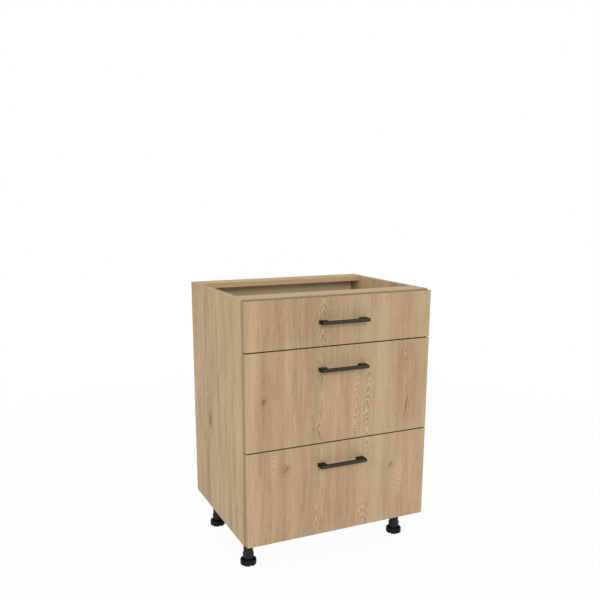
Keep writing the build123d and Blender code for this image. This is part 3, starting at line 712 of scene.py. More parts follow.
def dress_oak(tree, shader, shown, relief):
    """Joins the oak's colour and relief to a material's shader. Its pores are a little duller."""
    dress(tree, shader, shown, relief * -0.12 + 0.56, relief, 0.22, 0.4 * MM)


def side_oak():
    """Oak of the side panels, with upright grain."""
    material, tree, shader = new_material("side_oak", Specular_IOR_Level=0.3)
    run = use_group(tree, upright_grain, edge_x=0.0, edge_y=1.0)
    shown, relief = oak_look(
        tree, out(run, "Along"), out(run, "Across"), 80.0, figures=SIDE_FIGURES, knots=SIDE_KNOTS,
        contrast=1.75, rich=1.07,
    )
    dress_oak(tree, shader, shown, relief)
    return material


def front_oak():
    """Oak of the drawer fronts: one figure runs over all three. Their side and level edges are browner:
    partly the edge band's colour, partly painted shade where the edges lie beside the carcass and in the
    gaps between the fronts.
    """
    material, tree, shader = new_material("front_oak", Specular_IOR_Level=0.3)
    run = use_group(tree, upright_grain, edge_x=1.0, edge_y=0.0)
    shown, relief = oak_look(
        tree, out(run, "Along"), out(run, "Across"), 0.0, middle=FRONT_FACE, staves=FRONT_STAVES,
        figures=FRONT_FIGURES, knots=FRONT_KNOTS, contrast=0.95, pale=0.022,
    )
    sideways, _, level = facing(tree)
    # Painted shade in part: side faces blend to brown and level edges to the darker edge colour, so the
    # fronts' edges beside the carcass and in the gaps read darker.
    shown = blend(tree, square_to(sideways) * 0.68, shown, settings().oak.brown)
    shown = blend(tree, square_to(level), shown, settings().oak.edge)
    dress_oak(tree, shader, shown, relief)
    return material


def lying_oak():
    """Oak of the rails and the bottom, with grain from side to side."""
    material, tree, shader = new_material("lying_oak", Specular_IOR_Level=0.3)
    x, y, z = place_mm(tree)
    shown, relief = oak_look(tree, x, y + z, 40.0, contrast=1.1, rich=1.12, pale=0.12)
    dress_oak(tree, shader, shown, relief)
    return material


def back_board():
    """Thin back panel: printed oak inside, raw brown board on the rear face."""
    print_share = 0.74
    cloud_scale = 24.0
    felt_scale = 240.0
    oak = settings().oak
    material, tree, shader = new_material("back_board", Specular_IOR_Level=0.25)
    run = use_group(tree, upright_grain, edge_x=1.0, edge_y=0.0)
    shown, relief = oak_look(tree, out(run, "Along"), out(run, "Across"), 60.0)
    printed = blend(tree, print_share, shown, oak.inside)
    place = spot(tree)
    cloud = step(tree, specks(tree, place, cloud_scale, 6.0), 0.25, 0.75)
    felt = specks(tree, place, felt_scale, 5.0)
    raw = blend(tree, felt * 0.8 + cloud * 0.2, toned(oak.back, 0.7), toned(oak.back, 1.3))
    rear = step(tree, facing(tree)[1], 0.4, 0.6)
    dress_oak(tree, shader, blend(tree, rear, printed, raw), relief)
    return material


# Finishes of the fittings

def coated_board(name, shown, seed):
    """Coated drawer board with the faint pearl structure of its foil."""
    material, tree, shader = new_material(name, Specular_IOR_Level=0.35)
    skin = use_group(tree, moulded_skin, grain=520.0, seed=seed)
    share = out(skin, "Cloud") * 0.7 + out(skin, "Grain") * 0.3
    pearl = blend(tree, share, toned(shown, 0.9), toned(shown, 1.06))
    dress(tree, shader, pearl, out(skin, "Grain") * 0.2 + 0.4, out(skin, "Grain"), 0.12)
    return material


def dark_plastic(name, shown, seed):
    """Black moulded plastic with fine skin, soft mottling and a breath of dust on what faces up."""
    material, tree, shader = new_material(name, Specular_IOR_Level=0.06)
    skin = use_group(tree, moulded_skin, grain=1400.0, seed=seed)
    body = blend(tree, out(skin, "Cloud"), toned(shown, 0.75), toned(shown, 1.3))
    dusty = blend(tree, out(skin, "Dust") * 0.22, body, settings().finish.dust)
    roughness = out(skin, "Cloud") * 0.2 + out(skin, "Dust") * 0.2 + 0.38
    dress(tree, shader, dusty, roughness, out(skin, "Grain"), 0.25)
    return material


def powder_coat(name, shown, roughness, seed):
    """Powder coat or plain nylon: a fine orange peel over an even colour."""
    material, tree, shader = new_material(name, Specular_IOR_Level=0.5)
    skin = use_group(tree, moulded_skin, grain=800.0, seed=seed)
    coat = blend(tree, out(skin, "Cloud"), toned(shown, 0.9), toned(shown, 1.1))
    dull = out(skin, "Cloud") * 0.16 + (roughness - 0.08)
    dress(tree, shader, coat, dull, out(skin, "Grain"), 0.2)
    return material


def handle_coat():
    """Dark coat of a handle. The front of the bar is painted a lighter grey with brushed lines: painted
    light where the front lamp falls on it.
    """
    finish = settings().finish
    material, tree, shader = new_material("handle_coat", Specular_IOR_Level=0.15)
    skin = use_group(tree, moulded_skin, grain=800.0, seed=3.0)
    drawn = use_group(tree, brushed_lines, seed=4.0)
    cloud = out(skin, "Cloud")
    lines = out(drawn, "Lines")
    # Painted light: faces turned to the front take the lighter grey, the rest keeps the dark coat.
    front = step(tree, facing(tree)[1], -0.55, -0.95)
    dark = blend(tree, cloud, toned(finish.handle_paint, 0.8), toned(finish.handle_paint, 1.25))
    pale = blend(tree, lines, toned(finish.handle_face, 0.75), toned(finish.handle_face, 1.25))
    roughness = cloud * 0.14 + lines * 0.1 + 0.34
    dress(tree, shader, blend(tree, front, dark, pale), roughness, out(skin, "Grain") + lines * front, 0.16)
    return material


def bright_metal(name, shown, roughness, seed):
    """Plated or cast metal with fine drawn lines and clouded shine."""
    material, tree, shader = new_material(name, Metallic=1.0)
    drawn = use_group(tree, brushed_lines, seed=seed)
    lines = out(drawn, "Lines")
    cloud = out(drawn, "Cloud")
    plate = blend(tree, cloud, toned(shown, 0.8), shown)
    dress(tree, shader, plate, lines * 0.2 + cloud * 0.15 + roughness, lines, 0.15, 0.1 * MM)
    return material


def beech_dowel():
    """Plain beech with short flecks along the dowel."""
    material, tree, shader = new_material("beech_dowel", Specular_IOR_Level=0.3)
    x, y, z = place_mm(tree)
    fleck = noise(tree, (y + z) * 2.2, x / 4.0, 3.0, 3.0)
    beech = settings().finish.beech
    dress(tree, shader, blend(tree, fleck, toned(beech, 0.7), beech), fleck * 0.2 + 0.5, fleck, 0.2)
    return material


def paint(material, *nodes):
    """Gives CAD nodes a material."""
    for name in nodes:
        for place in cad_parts[name].material_slots:
            place.material = material


# Meshes: outlines, shells and pieces. Points that are closer than a seam, in metres, become one.

LOFT_SEAM = 1e-6
PIECE_SEAM = 2e-6
RING_SEAM = 5e-6
SOLID_SEAM = 1e-5
NEARLY_STRAIGHT = 0.05
LONGEST_CUT = 0.45
SMOOTH_ANGLE = radians(38)
EDGE_ANGLE = radians(32)


def rounded(corners, radius, steps=3, closed=True):
    """An outline with its corners rounded, each by less where there is no room."""
    corners = [Vector(corner) for corner in corners]
    points = []
    for i, corner in enumerate(corners):
        if not closed and i in (0, len(corners) - 1):
            points.append(corner)
            continue
        before = corners[i - 1] - corner
        after = corners[(i + 1) % len(corners)] - corner
        opening = before.angle(after)
        if opening > pi - NEARLY_STRAIGHT:
            points.append(corner)
            continue
        room = LONGEST_CUT * min(before.length, after.length)
        cut = min(radius / tan(opening / 2), room)
        first = corner + before.normalized() * cut
        last = corner + after.normalized() * cut
        for k in range(steps + 1):
            share = k / steps
            points.append(first.lerp(corner, share).lerp(corner.lerp(last, share), share))
    return points


def loft(columns, around=False, capped=True):
    """A shell through outlines of equal length, closed round an axis or capped at its two ends."""
    shell = bmesh.new()
    rows = [[shell.verts.new(point) for point in column] for column in columns]
    for row, following in zip(rows, rows[1:] + (rows[:1] if around else [])):
        for i in range(len(row)):
            j = (i + 1) % len(row)
            shell.faces.new((row[i], following[i], following[j], row[j]))
    if capped and not around:
        shell.faces.new(rows[0])
        shell.faces.new(rows[-1][::-1])
    bmesh.ops.remove_doubles(shell, verts=shell.verts, dist=LOFT_SEAM)
    bmesh.ops.recalc_face_normals(shell, faces=shell.faces)
    return shell


def round_columns(columns):
    """Columns of points about Z from pairs of an angle and a profile of (radius, height) points."""
    return [[(r * cos(angle), r * sin(angle), z) for r, z in profile] for angle, profile in columns]


def turned(profile, steps):
    """A shell turned about Z from a closed profile of (radius, height) points."""
    return loft(round_columns([(2 * pi * k / steps, profile) for k in range(steps)]), around=True)


def extruded(outline, low, high):
    """A shell from an outline in X and Z, along Y."""
    return loft([[(x, y, z) for x, z in outline] for y in (low, high)])


def shell_of(mesh):
    """A mesh as a shell to work on."""
    shell = bmesh.new()
    shell.from_mesh(mesh)
    return shell


def joined(*shells):
    """One mesh from one or more shells."""
    mesh = bpy.data.meshes.new("shells")
    whole = bmesh.new()
    for shell in shells:
        shell.to_mesh(mesh)
        shell.free()
        whole.from_mesh(mesh)
    whole.to_mesh(mesh)
    whole.free()
    return mesh


def new_piece(name, mesh):
    """A mesh as an object in the scene."""
    mesh.name = name
    piece = bpy.data.objects.new(name, mesh)
    bpy.context.scene.collection.objects.link(piece)
    return piece


def settle(piece):
    """Makes what a piece's modifiers give its plain mesh."""
    graph = bpy.context.evaluated_depsgraph_get()
    mesh = bpy.data.meshes.new_from_object(piece.evaluated_get(graph), depsgraph=graph)
    piece.modifiers.clear()
    former = piece.data
    piece.data = mesh
    mesh.name = piece.name
    bpy.data.meshes.remove(former)


def tidy_mesh(piece, place=None):
    """Closes seams, turns faces outwards, moves the mesh to its place and smooths what is round."""
    shell = shell_of(piece.data)
    bmesh.ops.remove_doubles(shell, verts=shell.verts, dist=PIECE_SEAM)
    if place is not None:
        shell.transform(place)
    bmesh.ops.recalc_face_normals(shell, faces=shell.faces)
    shell.to_mesh(piece.data)
    shell.free()
    piece.data.shade_smooth()
    piece.data.set_sharp_from_angle(angle=SMOOTH_ANGLE)


def soften(piece, width):
    """Rounds a piece's sharp edges."""
    edge = piece.modifiers.new("edges", "BEVEL")
    edge.width = width
    edge.segments = 3
    edge.limit_method = "ANGLE"
    edge.angle_limit = EDGE_ANGLE
    edge.harden_normals = True
    settle(piece)


def to_axis(low, high):
    """Moves what is made about Z to the upright axis of a box."""
    return Matrix.Translation(((low + high) / 2).to_2d().to_3d())


def hand_over(piece, body, slot, *nodes):
    """Hangs a piece on the empty of the body it moves with and hides the CAD nodes it stands for. Its slot
    is not used.
    """
    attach(piece, body)
    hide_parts(*nodes)


# Geometry Nodes trees

CORE_STEPS = 40
THREAD_STEPS = 30
BEAD_STEPS = 6
SLOT_STEPS = 20


def geometry_tree(name, inputs):
    """An empty Geometry Nodes tree with named inputs: the tree, its inputs as wires, its output node."""
    tree = bpy.data.node_groups.new(name, "GeometryNodeTree")
    sockets = {"Geometry": "Geometry", **inputs}
    for label, kind in sockets.items():
        tree.interface.new_socket(label, in_out="INPUT", socket_type="NodeSocket" + kind)
    tree.interface.new_socket("Geometry", in_out="OUTPUT", socket_type="NodeSocketGeometry")
    entry = tree.nodes.new("NodeGroupInput")
    given = {label: out(entry, label) for label in sockets}
    return tree, given, tree.nodes.new("NodeGroupOutput")


def end_tree(tree, result, shape, material):
    """Ends a tree: instances made real, material set."""
    real = add(tree, "GeometryNodeRealizeInstances", {"Geometry": shape})
    dressed = add(tree, "GeometryNodeSetMaterial", {"Geometry": out(real), "Material": material})
    give(tree, result, Geometry=out(dressed))
    return tree


def run_tree(piece, tree, **values):
    """Runs a tree on a piece with its inputs set, and makes the result the piece's plain mesh."""
    modifier = piece.modifiers.new(tree.name, "NODES")
    modifier.node_group = tree
    for item in tree.interface.items_tree:
        label = item.name.replace(" ", "_").lower()
        if item.in_out == "INPUT" and label in values:
            modifier[item.identifier] = values[label]
    settle(piece)


def moved(tree, shape, place):
    """A shape moved to a place."""
    return out(add(tree, "GeometryNodeTransform", {"Geometry": shape, "Translation": place}))


def cut_away(tree, body, tool):
    """A body with a tool's shape cut out of it."""
    node = add(
        tree, "GeometryNodeMeshBoolean", {"Mesh 1": body, "Mesh 2": tool}, operation="DIFFERENCE",
        solver="EXACT",
    )
    return out(node, "Mesh")


def joined_up(tree, shapes):
    """Several shapes as one geometry."""
    whole = tree.nodes.new("GeometryNodeJoinGeometry")
    for shape in shapes:
        plug(tree, whole.inputs["Geometry"], shape)
    return out(whole)


def repeat_round_axis(tree, shape, count):
    """Repeats a shape round Z and closes the seams."""
    points = add(tree, "GeometryNodeMeshLine", {"Count": count, "Offset": (0.0, 0.0, 0.0)})
    number = out(add(tree, "GeometryNodeInputIndex"))
    turn = add(tree, "FunctionNodeEulerToRotation", {"Euler": vector(tree, Z=number * (2 * pi) / count)})
    set_out = add(tree, "GeometryNodeInstanceOnPoints", {
        "Points": out(points), "Instance": shape, "Rotation": out(turn),
    })
    real = add(tree, "GeometryNodeRealizeInstances", {"Geometry": out(set_out)})
    return out(add(tree, "GeometryNodeMergeByDistance", {"Geometry": out(real), "Distance": RING_SEAM}))


@once
def ring_tree():
    """A round piece from one wedge, repeated round its axis."""
    tree, given, result = geometry_tree("round_piece", {"Count": "Int", "Material": "Material"})
    ring = repeat_round_axis(tree, given["Geometry"], given["Count"])
    return end_tree(tree, result, ring, given["Material"])


@once
def foot_tree():
    """A levelling foot: a turned cup with notches cut round it and a threaded spindle standing in it."""
    tree, given, result = geometry_tree("levelling_foot", {
        "Notches": "Int", "Notch Size": "Vector", "Undercut Size": "Vector", "Notch Place": "Vector",
        "Core": "Float", "Bead": "Float", "Pitch": "Float", "Low": "Float", "High": "Float",
        "Material": "Material",
    })
    cup = given["Geometry"]
    for size in ("Notch Size", "Undercut Size"):
        block = add(tree, "GeometryNodeMeshCube", {"Size": given[size]})
        notch = moved(tree, out(block, "Mesh"), given["Notch Place"])
        cup = cut_away(tree, cup, repeat_round_axis(tree, notch, given["Notches"]))
    height = given["High"] - given["Low"]
    core = add(
        tree, "GeometryNodeMeshCylinder",
        {"Vertices": CORE_STEPS, "Radius": given["Core"], "Depth": height}, fill_type="NGON",
    )
    spindle = moved(tree, out(core, "Mesh"), vector(tree, Z=(given["High"] + given["Low"]) / 2.0))
    run = height - given["Bead"] * 3.0
    spiral = add(tree, "GeometryNodeCurveSpiral", {
        "Resolution": THREAD_STEPS, "Rotations": run / given["Pitch"], "Start Radius": given["Core"],
        "End Radius": given["Core"], "Height": run,
    })
    raised = moved(tree, out(spiral), vector(tree, Z=given["Low"] + given["Bead"]))
    bead = add(tree, "GeometryNodeCurvePrimitiveCircle", {"Resolution": BEAD_STEPS, "Radius": given["Bead"]})
    thread = add(
        tree, "GeometryNodeCurveToMesh",
        {"Curve": raised, "Profile Curve": out(bead, "Curve"), "Fill Caps": True},
    )
    return end_tree(tree, result, joined_up(tree, (cup, spindle, out(thread))), given["Material"])


@once
def screw_tree():
    """Screws on points: each point's attributes give the way its head faces and its shank's size."""
    tree, given, result = geometry_tree("screws", {
        "Flat Head": "Object", "Round Head": "Object", "Shank": "Object", "Material": "Material",
    })

    def attribute(name, kind="FLOAT"):
        return out(add(tree, "GeometryNodeInputNamedAttribute", {"Name": name}, data_type=kind), "Attribute")

    way = attribute("aim", "FLOAT_VECTOR")
    aim = add(tree, "FunctionNodeAlignRotationToVector", {"Vector": way}, axis="Z")
    radius = attribute("radius")
    even = vector(tree, X=radius, Y=radius, Z=radius)
    drawn = vector(tree, X=radius, Y=radius, Z=attribute("reach"))
    dome = attribute("round")
    shapes = []
    for label, scale, chosen in (
        ("Flat Head", even, dome * -1.0 + 1.0), ("Round Head", even, dome), ("Shank", drawn, None),
    ):
        shape = add(tree, "GeometryNodeObjectInfo", {"Object": given[label]})
        set_out = add(tree, "GeometryNodeInstanceOnPoints", {
            "Points": given["Geometry"], "Instance": out(shape, "Geometry"), "Rotation": out(aim),
            "Scale": scale,
        })
        if chosen is not None:
            give(tree, set_out, Selection=chosen.math("GREATER_THAN", 0.5))
        shapes.append(out(set_out))
    return end_tree(tree, result, joined_up(tree, shapes), given["Material"])


@once
def slot_tree():
    """Long holes cut through a runner's web, in a row along Y."""
    tree, given, result = geometry_tree("runner_slots", {
        "Count": "Int", "First": "Vector", "Pitch": "Float", "Slot Length": "Float", "Slot Height": "Float",
        "Cut": "Float", "Material": "Material",
    })
    row = add(tree, "GeometryNodeMeshLine", {
        "Count": given["Count"], "Start Location": given["First"], "Offset": vector(tree, Y=given["Pitch"]),
    })
    drill = add(
        tree, "GeometryNodeMeshCylinder", {"Vertices": SLOT_STEPS, "Radius": 0.5, "Depth": 1.0},
        fill_type="NGON",
    )
    size = vector(tree, X=given["Slot Height"], Y=given["Slot Length"], Z=given["Cut"])
    shaped = add(tree, "GeometryNodeTransform", {"Geometry": out(drill, "Mesh"), "Scale": size})
    laid = add(tree, "GeometryNodeTransform", {"Geometry": out(shaped), "Rotation": (0.0, pi / 2, 0.0)})
    cutters = add(tree, "GeometryNodeInstanceOnPoints", {"Points": out(row), "Instance": out(laid)})
    real = add(tree, "GeometryNodeRealizeInstances", {"Geometry": out(cutters)})
    return end_tree(tree, result, cut_away(tree, given["Geometry"], out(real)), given["Material"])


# Operators, one for each group of pieces, after the shapes that only they use

class OakBoards(bpy.types.Operator):
    """Oak decor on the carcass boards, the back panel and the drawer fronts."""

    bl_idname = "cabinet.oak_boards"
    bl_label = "Oak boards"

    def execute(self, context):
        paint(side_oak(), "left_side_panel", "right_side_panel")
        paint(lying_oak(), "bottom_panel", "front_top_rail", "back_top_rail")
        paint(back_board(), "back_panel")
        paint(front_oak(), *[f"{name}_drawer_front" for name in DRAWERS])
        return {"FINISHED"}


class DrawerBoxes(bpy.types.Operator):
    """Pale coated boards of the drawer boxes."""

    bl_idname = "cabinet.drawer_boxes"
    bl_label = "Drawer boxes"

    def execute(self, context):
        board = coated_board("drawer_board", settings().finish.box_board, 0.0)
        floor = coated_board("drawer_floor", settings().finish.box_board, 1.7)
        for name in DRAWERS:
            paint(board, *[f"{name}_drawer_box_{side}" for side in ("left", "right", "front", "back")])
            paint(floor, f"{name}_drawer_box_bottom")
        return {"FINISHED"}


class Handles(bpy.types.Operator):
    """Bar handles with a block foot at each end and rounded edges."""

    bl_idname = "cabinet.handles"
    bl_label = "Handles"

    def execute(self, context):
        sizes = settings().handle
        coat = handle_coat()
        for name in DRAWERS:
            low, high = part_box(f"{name}_drawer_handle")
            inner = low.y + sizes.bar
            left = low.x + sizes.foot
            right = high.x - sizes.foot
            hollow = rounded(
                [(left, high.y), (left, inner), (right, inner), (right, high.y)], sizes.inner_round, 5,
                closed=False,
            )
            outline = [(high.x, high.y), (high.x, low.y), (low.x, low.y), (low.x, high.y), *hollow]
            bar = loft([[(x, y, z) for x, y in outline] for z in (low.z, high.z)])
            piece = new_piece(f"{name}_bar_handle", joined(bar))
            piece.data.materials.append(coat)
            soften(piece, sizes.edge)
            tidy_mesh(piece)
            hand_over(piece, f"{name}_drawer", "handle_metal", f"{name}_drawer_handle")
        return {"FINISHED"}


# Where a foot's bevels bulge, as shares of their size: in from the wall, and away from the edge
BASE_BULGE = (0.35, 0.4)
RIM_BULGE = (0.4, 0.3)
FINE_ROUND = 0.6 * MM
CUP_BEVEL = 1 * MM
THREAD_SINK = 1 * MM
TUBE_STEPS = 64
CUP_STEPS = 72


class Legs(bpy.types.Operator):
    """Legs: moulded sockets and tubes, and threaded levelling feet with grip notches."""

    bl_idname = "cabinet.legs"
    bl_label = "Legs"

    def execute(self, context):
        leg_plastic = dark_plastic("leg_plastic", settings().finish.leg_plastic, 5.0)
        foot_plastic = dark_plastic("foot_plastic", settings().finish.foot_plastic, 9.0)
        for leg in LEGS:
            paint(leg_plastic, f"{leg}_leg_socket")
            self.tube(leg, leg_plastic)
            self.foot(leg, foot_plastic)
        return {"FINISHED"}

    def tube(self, leg, plastic):
        """A tube with its sleeve, collar and two bores."""
        sizes = settings().leg
        low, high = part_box(f"{leg}_leg_tube")
        profile = rounded([
            (sizes.bore, low.z), (sizes.sleeve, low.z), (sizes.sleeve, sizes.sleeve_top),
            (sizes.collar, sizes.sleeve_top), (sizes.collar, sizes.collar_top),
            (sizes.tube, sizes.collar_top + sizes.collar_slope), (sizes.tube, high.z),
            (sizes.spigot_bore, high.z), (sizes.spigot_bore, sizes.spigot_low), (0.0, sizes.spigot_low),
            (0.0, sizes.bore_top), (sizes.bore, sizes.bore_top),
        ], FINE_ROUND)
        profile = [(max(r, 0.0), z) for r, z in profile]
        piece = new_piece(f"{leg}_tube", joined(turned(profile, TUBE_STEPS)))
        piece.data.materials.append(plastic)
        tidy_mesh(piece, to_axis(low, high))
        hand_over(piece, "carcass", "leg_plastic", f"{leg}_leg_tube")

    def foot(self, leg, plastic):
        """A cup with grip notches and its threaded spindle."""
        sizes = settings().leg
        low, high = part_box(f"{leg}_leg_foot")
        rim = low.z + sizes.foot_height
        floor = low.z + sizes.foot_base
        outer = (high.x - low.x) / 2
        inner = outer - sizes.foot_wall
        base_in, base_up = (share * sizes.foot_bevel for share in BASE_BULGE)
        rim_in, rim_down = (share * sizes.rim_bevel for share in RIM_BULGE)
        cup = [
            (0.0, low.z), (outer - sizes.foot_bevel, low.z), (outer - base_in, low.z + base_up),
            (outer, low.z + sizes.foot_bevel), (outer, rim - sizes.rim_bevel),
            (outer - rim_in, rim - rim_down), (outer - sizes.rim_bevel, rim),
            (inner + FINE_ROUND, rim), (inner, rim - FINE_ROUND), (inner, floor + CUP_BEVEL),
            (inner - CUP_BEVEL, floor), (0.0, floor),
        ]
        piece = new_piece(f"{leg}_levelling_foot", joined(turned(cup, CUP_STEPS)))
        run_tree(
            piece, foot_tree(), notches=sizes.notches, notch_place=(outer, 0.0, low.z),
            notch_size=(2 * sizes.notch_depth, sizes.notch_width, 2 * sizes.notch_height),
            undercut_size=(2 * sizes.undercut_depth, sizes.notch_width, 2 * sizes.undercut_height),
            core=sizes.thread_core, bead=sizes.thread_bead, pitch=sizes.thread_pitch,
            low=floor - THREAD_SINK, high=high.z, material=plastic,
        )
        tidy_mesh(piece, to_axis(low, high) @ Matrix.Rotation(pi / sizes.notches, 4, "Z"))
        hand_over(piece, f"{leg}_foot", "foot_plastic", f"{leg}_leg_foot")


# Runners. The upper flange of a channel is what lies within the flange zone below its top. In front it is
# cut back to a stub, and a short slant leads from there to its full width. A row of slots begins so many
# spaces behind the front end, and the axles stand a little past flange and track.
FLANGE_ZONE = 3 * MM
STUB = 0.2 * MM
SLANT = 0.3 * MM
PLATE_ROUND = 0.5 * MM
FRONT_AXLE_PAST = 0.6 * MM
REAR_AXLE_PAST = 0.1 * MM
CHANNEL_FIRST_SLOT = 1.08
TRACK_FIRST_SLOT = 0.7
SLOT_CUT = 2.5
AXLE_COLLAR = 1.5 * MM
AXLE_CAP = 0.8 * MM
AXLE_EDGE = 0.2 * MM
AXLE_STEPS = 32


def sheet_outline(path, thickness, bend):
    """The outline of a bent sheet from its middle line in X and Z."""
    line = rounded(path, bend, 5, closed=False)
    near = []
    far = []
    for i, point in enumerate(line):
        run = (line[min(i + 1, len(line) - 1)] - line[max(i - 1, 0)]).normalized()
        off = Vector((-run.y, run.x)) * thickness / 2
        near.append(point + off)
        far.append(point - off)
    return near + far[::-1]


def axle(inside, outside, y, z):
    """A riveted axle along X: a collar at the sheet, a plain shank and a domed head."""
    radius = settings().runner.axle
    head = settings().runner.axle_head
    way = 1 if outside > inside else -1
    reach = abs(outside - inside)
    neck = reach - AXLE_CAP
    shell = turned([
        (0.0, 0.0), (head, 0.0), (head, AXLE_COLLAR - AXLE_EDGE), (head - AXLE_EDGE, AXLE_COLLAR),
        (radius, AXLE_COLLAR), (radius, neck), (head - AXLE_EDGE / 2, neck), (head, reach - AXLE_CAP * 0.7),
        (head * 0.8, reach - AXLE_CAP * 0.2), (head * 0.45, reach), (0.0, reach),
    ], AXLE_STEPS)
    shell.transform(Matrix.Translation((inside, y, z)) @ Matrix.Rotation(way * pi / 2, 4, "Y"))
    return shell


def both_sides(stations):
    """A shell through outlines in X and Z at places along Y, and its mirror image."""
    return [loft([[(sign * x, y, z) for x, z in outline] for y, outline in stations]) for sign in SIDE_SIGNS]


class Runners(bpy.types.Operator):
    """Runners bent from sheet: channels on the carcass and tracks on the drawers, with axles and stops."""

    bl_idname = "cabinet.runners"
    bl_label = "Runners"

    def execute(self, context):
        coat = powder_coat("runner_coat", settings().finish.runner_paint, 0.4, 7.0)
        for name in DRAWERS:
            self.channels(name, coat)
            self.tracks(name, coat)
        return {"FINISHED"}

    def channels(self, name, coat):
        """The channels of one drawer: sheet, front axle, tab that stops the drawer, and end plate."""
        sizes = settings().runner
        low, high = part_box(f"{name}_cabinet_runners")
        base = low.z
        top = base + sizes.channel
        half = sizes.sheet / 2
        web = high.x - half
        lip = high.x - sizes.flange
        path = [(lip, base + half), (web, base + half), (web, top - half), (lip, top - half)]
        whole = sheet_outline(path, sizes.sheet, sizes.bend)
        stub = web - sizes.bend - STUB
        cut_back = [Vector((max(p.x, stub) if p.y > top - FLANGE_ZONE else p.x, p.y)) for p in whole]
        opening = low.y + sizes.open_end
        sheets = both_sides((
            (low.y, cut_back), (opening, cut_back), (opening + SLANT, whole), (high.y, whole),
        ))
        piece = new_piece(f"{name}_runner_channels", joined(*sheets))
        self.cut_slots(piece, coat, web, low.y, high.y, CHANNEL_FIRST_SLOT, base + sizes.channel / 2)
        extras = []
        for sign in SIDE_SIGNS:
            outer = sign * (high.x - sizes.sheet)
            inner = sign * lip
            tip = sign * (lip - FRONT_AXLE_PAST)
            extras.append(axle(outer, tip, low.y + sizes.front_axle, base + sizes.front_axle_rise))
            ceiling = top - sizes.sheet
            tab = (low.y + sizes.tab_place, top - sizes.tab_height)
            end_plate = (high.y - sizes.sheet, base + sizes.sheet)
            for front, floor in (tab, end_plate):
                corners = [(inner, floor), (outer, floor), (outer, ceiling), (inner, ceiling)]
                extras.append(extruded(rounded(corners, PLATE_ROUND), front, front + sizes.sheet))
        self.complete(piece, extras)
        hand_over(piece, "carcass", "runner_steel", f"{name}_cabinet_runners")

    def tracks(self, name, coat):
        """The tracks of one drawer: sheet under and beside the drawer's sides, and rear axle."""
        sizes = settings().runner
        low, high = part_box(f"{name}_drawer_runners")
        half = sizes.sheet / 2
        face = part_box(f"{name}_drawer_box_right")[1].x
        web = face + half
        outline = sheet_outline([
            (face + sizes.track, high.z - half), (web, high.z - half), (web, low.z + half),
            (web + half - sizes.support, low.z + half),
        ], sizes.sheet, sizes.track_bend)
        sheets = both_sides(((low.y, outline), (high.y, outline)))
        piece = new_piece(f"{name}_drawer_tracks", joined(*sheets))
        self.cut_slots(piece, coat, web, low.y, high.y, TRACK_FIRST_SLOT, low.z + sizes.track_slot_rise)
        extras = []
        for sign in SIDE_SIGNS:
            start = sign * (face + sizes.sheet)
            tip = sign * (face + sizes.track + REAR_AXLE_PAST)
            extras.append(axle(start, tip, high.y - sizes.rear_axle, low.z + sizes.rear_axle_rise))
        self.complete(piece, extras)
        hand_over(piece, f"{name}_drawer", "runner_steel", f"{name}_drawer_runners")

    def cut_slots(self, piece, coat, web, front, rear, first, rise):
        """Cuts a row of long holes into the web on both sides."""
        sizes = settings().runner
        pitch = (rear - front) / (sizes.slots + 1)
        for sign in SIDE_SIGNS:
            run_tree(
                piece, slot_tree(), count=sizes.slots, first=(sign * web, front + pitch * first, rise),
                pitch=pitch, slot_length=sizes.slot_length, slot_height=sizes.slot_height,
                cut=SLOT_CUT * sizes.sheet, material=coat,
            )

    def complete(self, piece, extras):
        """Adds axles and stops to the slotted sheets."""
        whole = shell_of(piece.data)
        parts = joined(*extras)
        whole.from_mesh(parts)
        whole.to_mesh(piece.data)
        whole.free()
        bpy.data.meshes.remove(parts)
        tidy_mesh(piece)


# Rollers: the crown of the tread, half the angle that a rib takes up, and how deep it lies in the recess
TREAD_EDGE = 0.5 * MM
TREAD_DROP = 0.12 * MM
TREAD_SHOULDER = 0.4 * MM
TREAD_ROUND = 0.3
RIB_HALF_ANGLE = 0.11
RIB_DEPTH = 0.25
RECESS_STEPS = 3


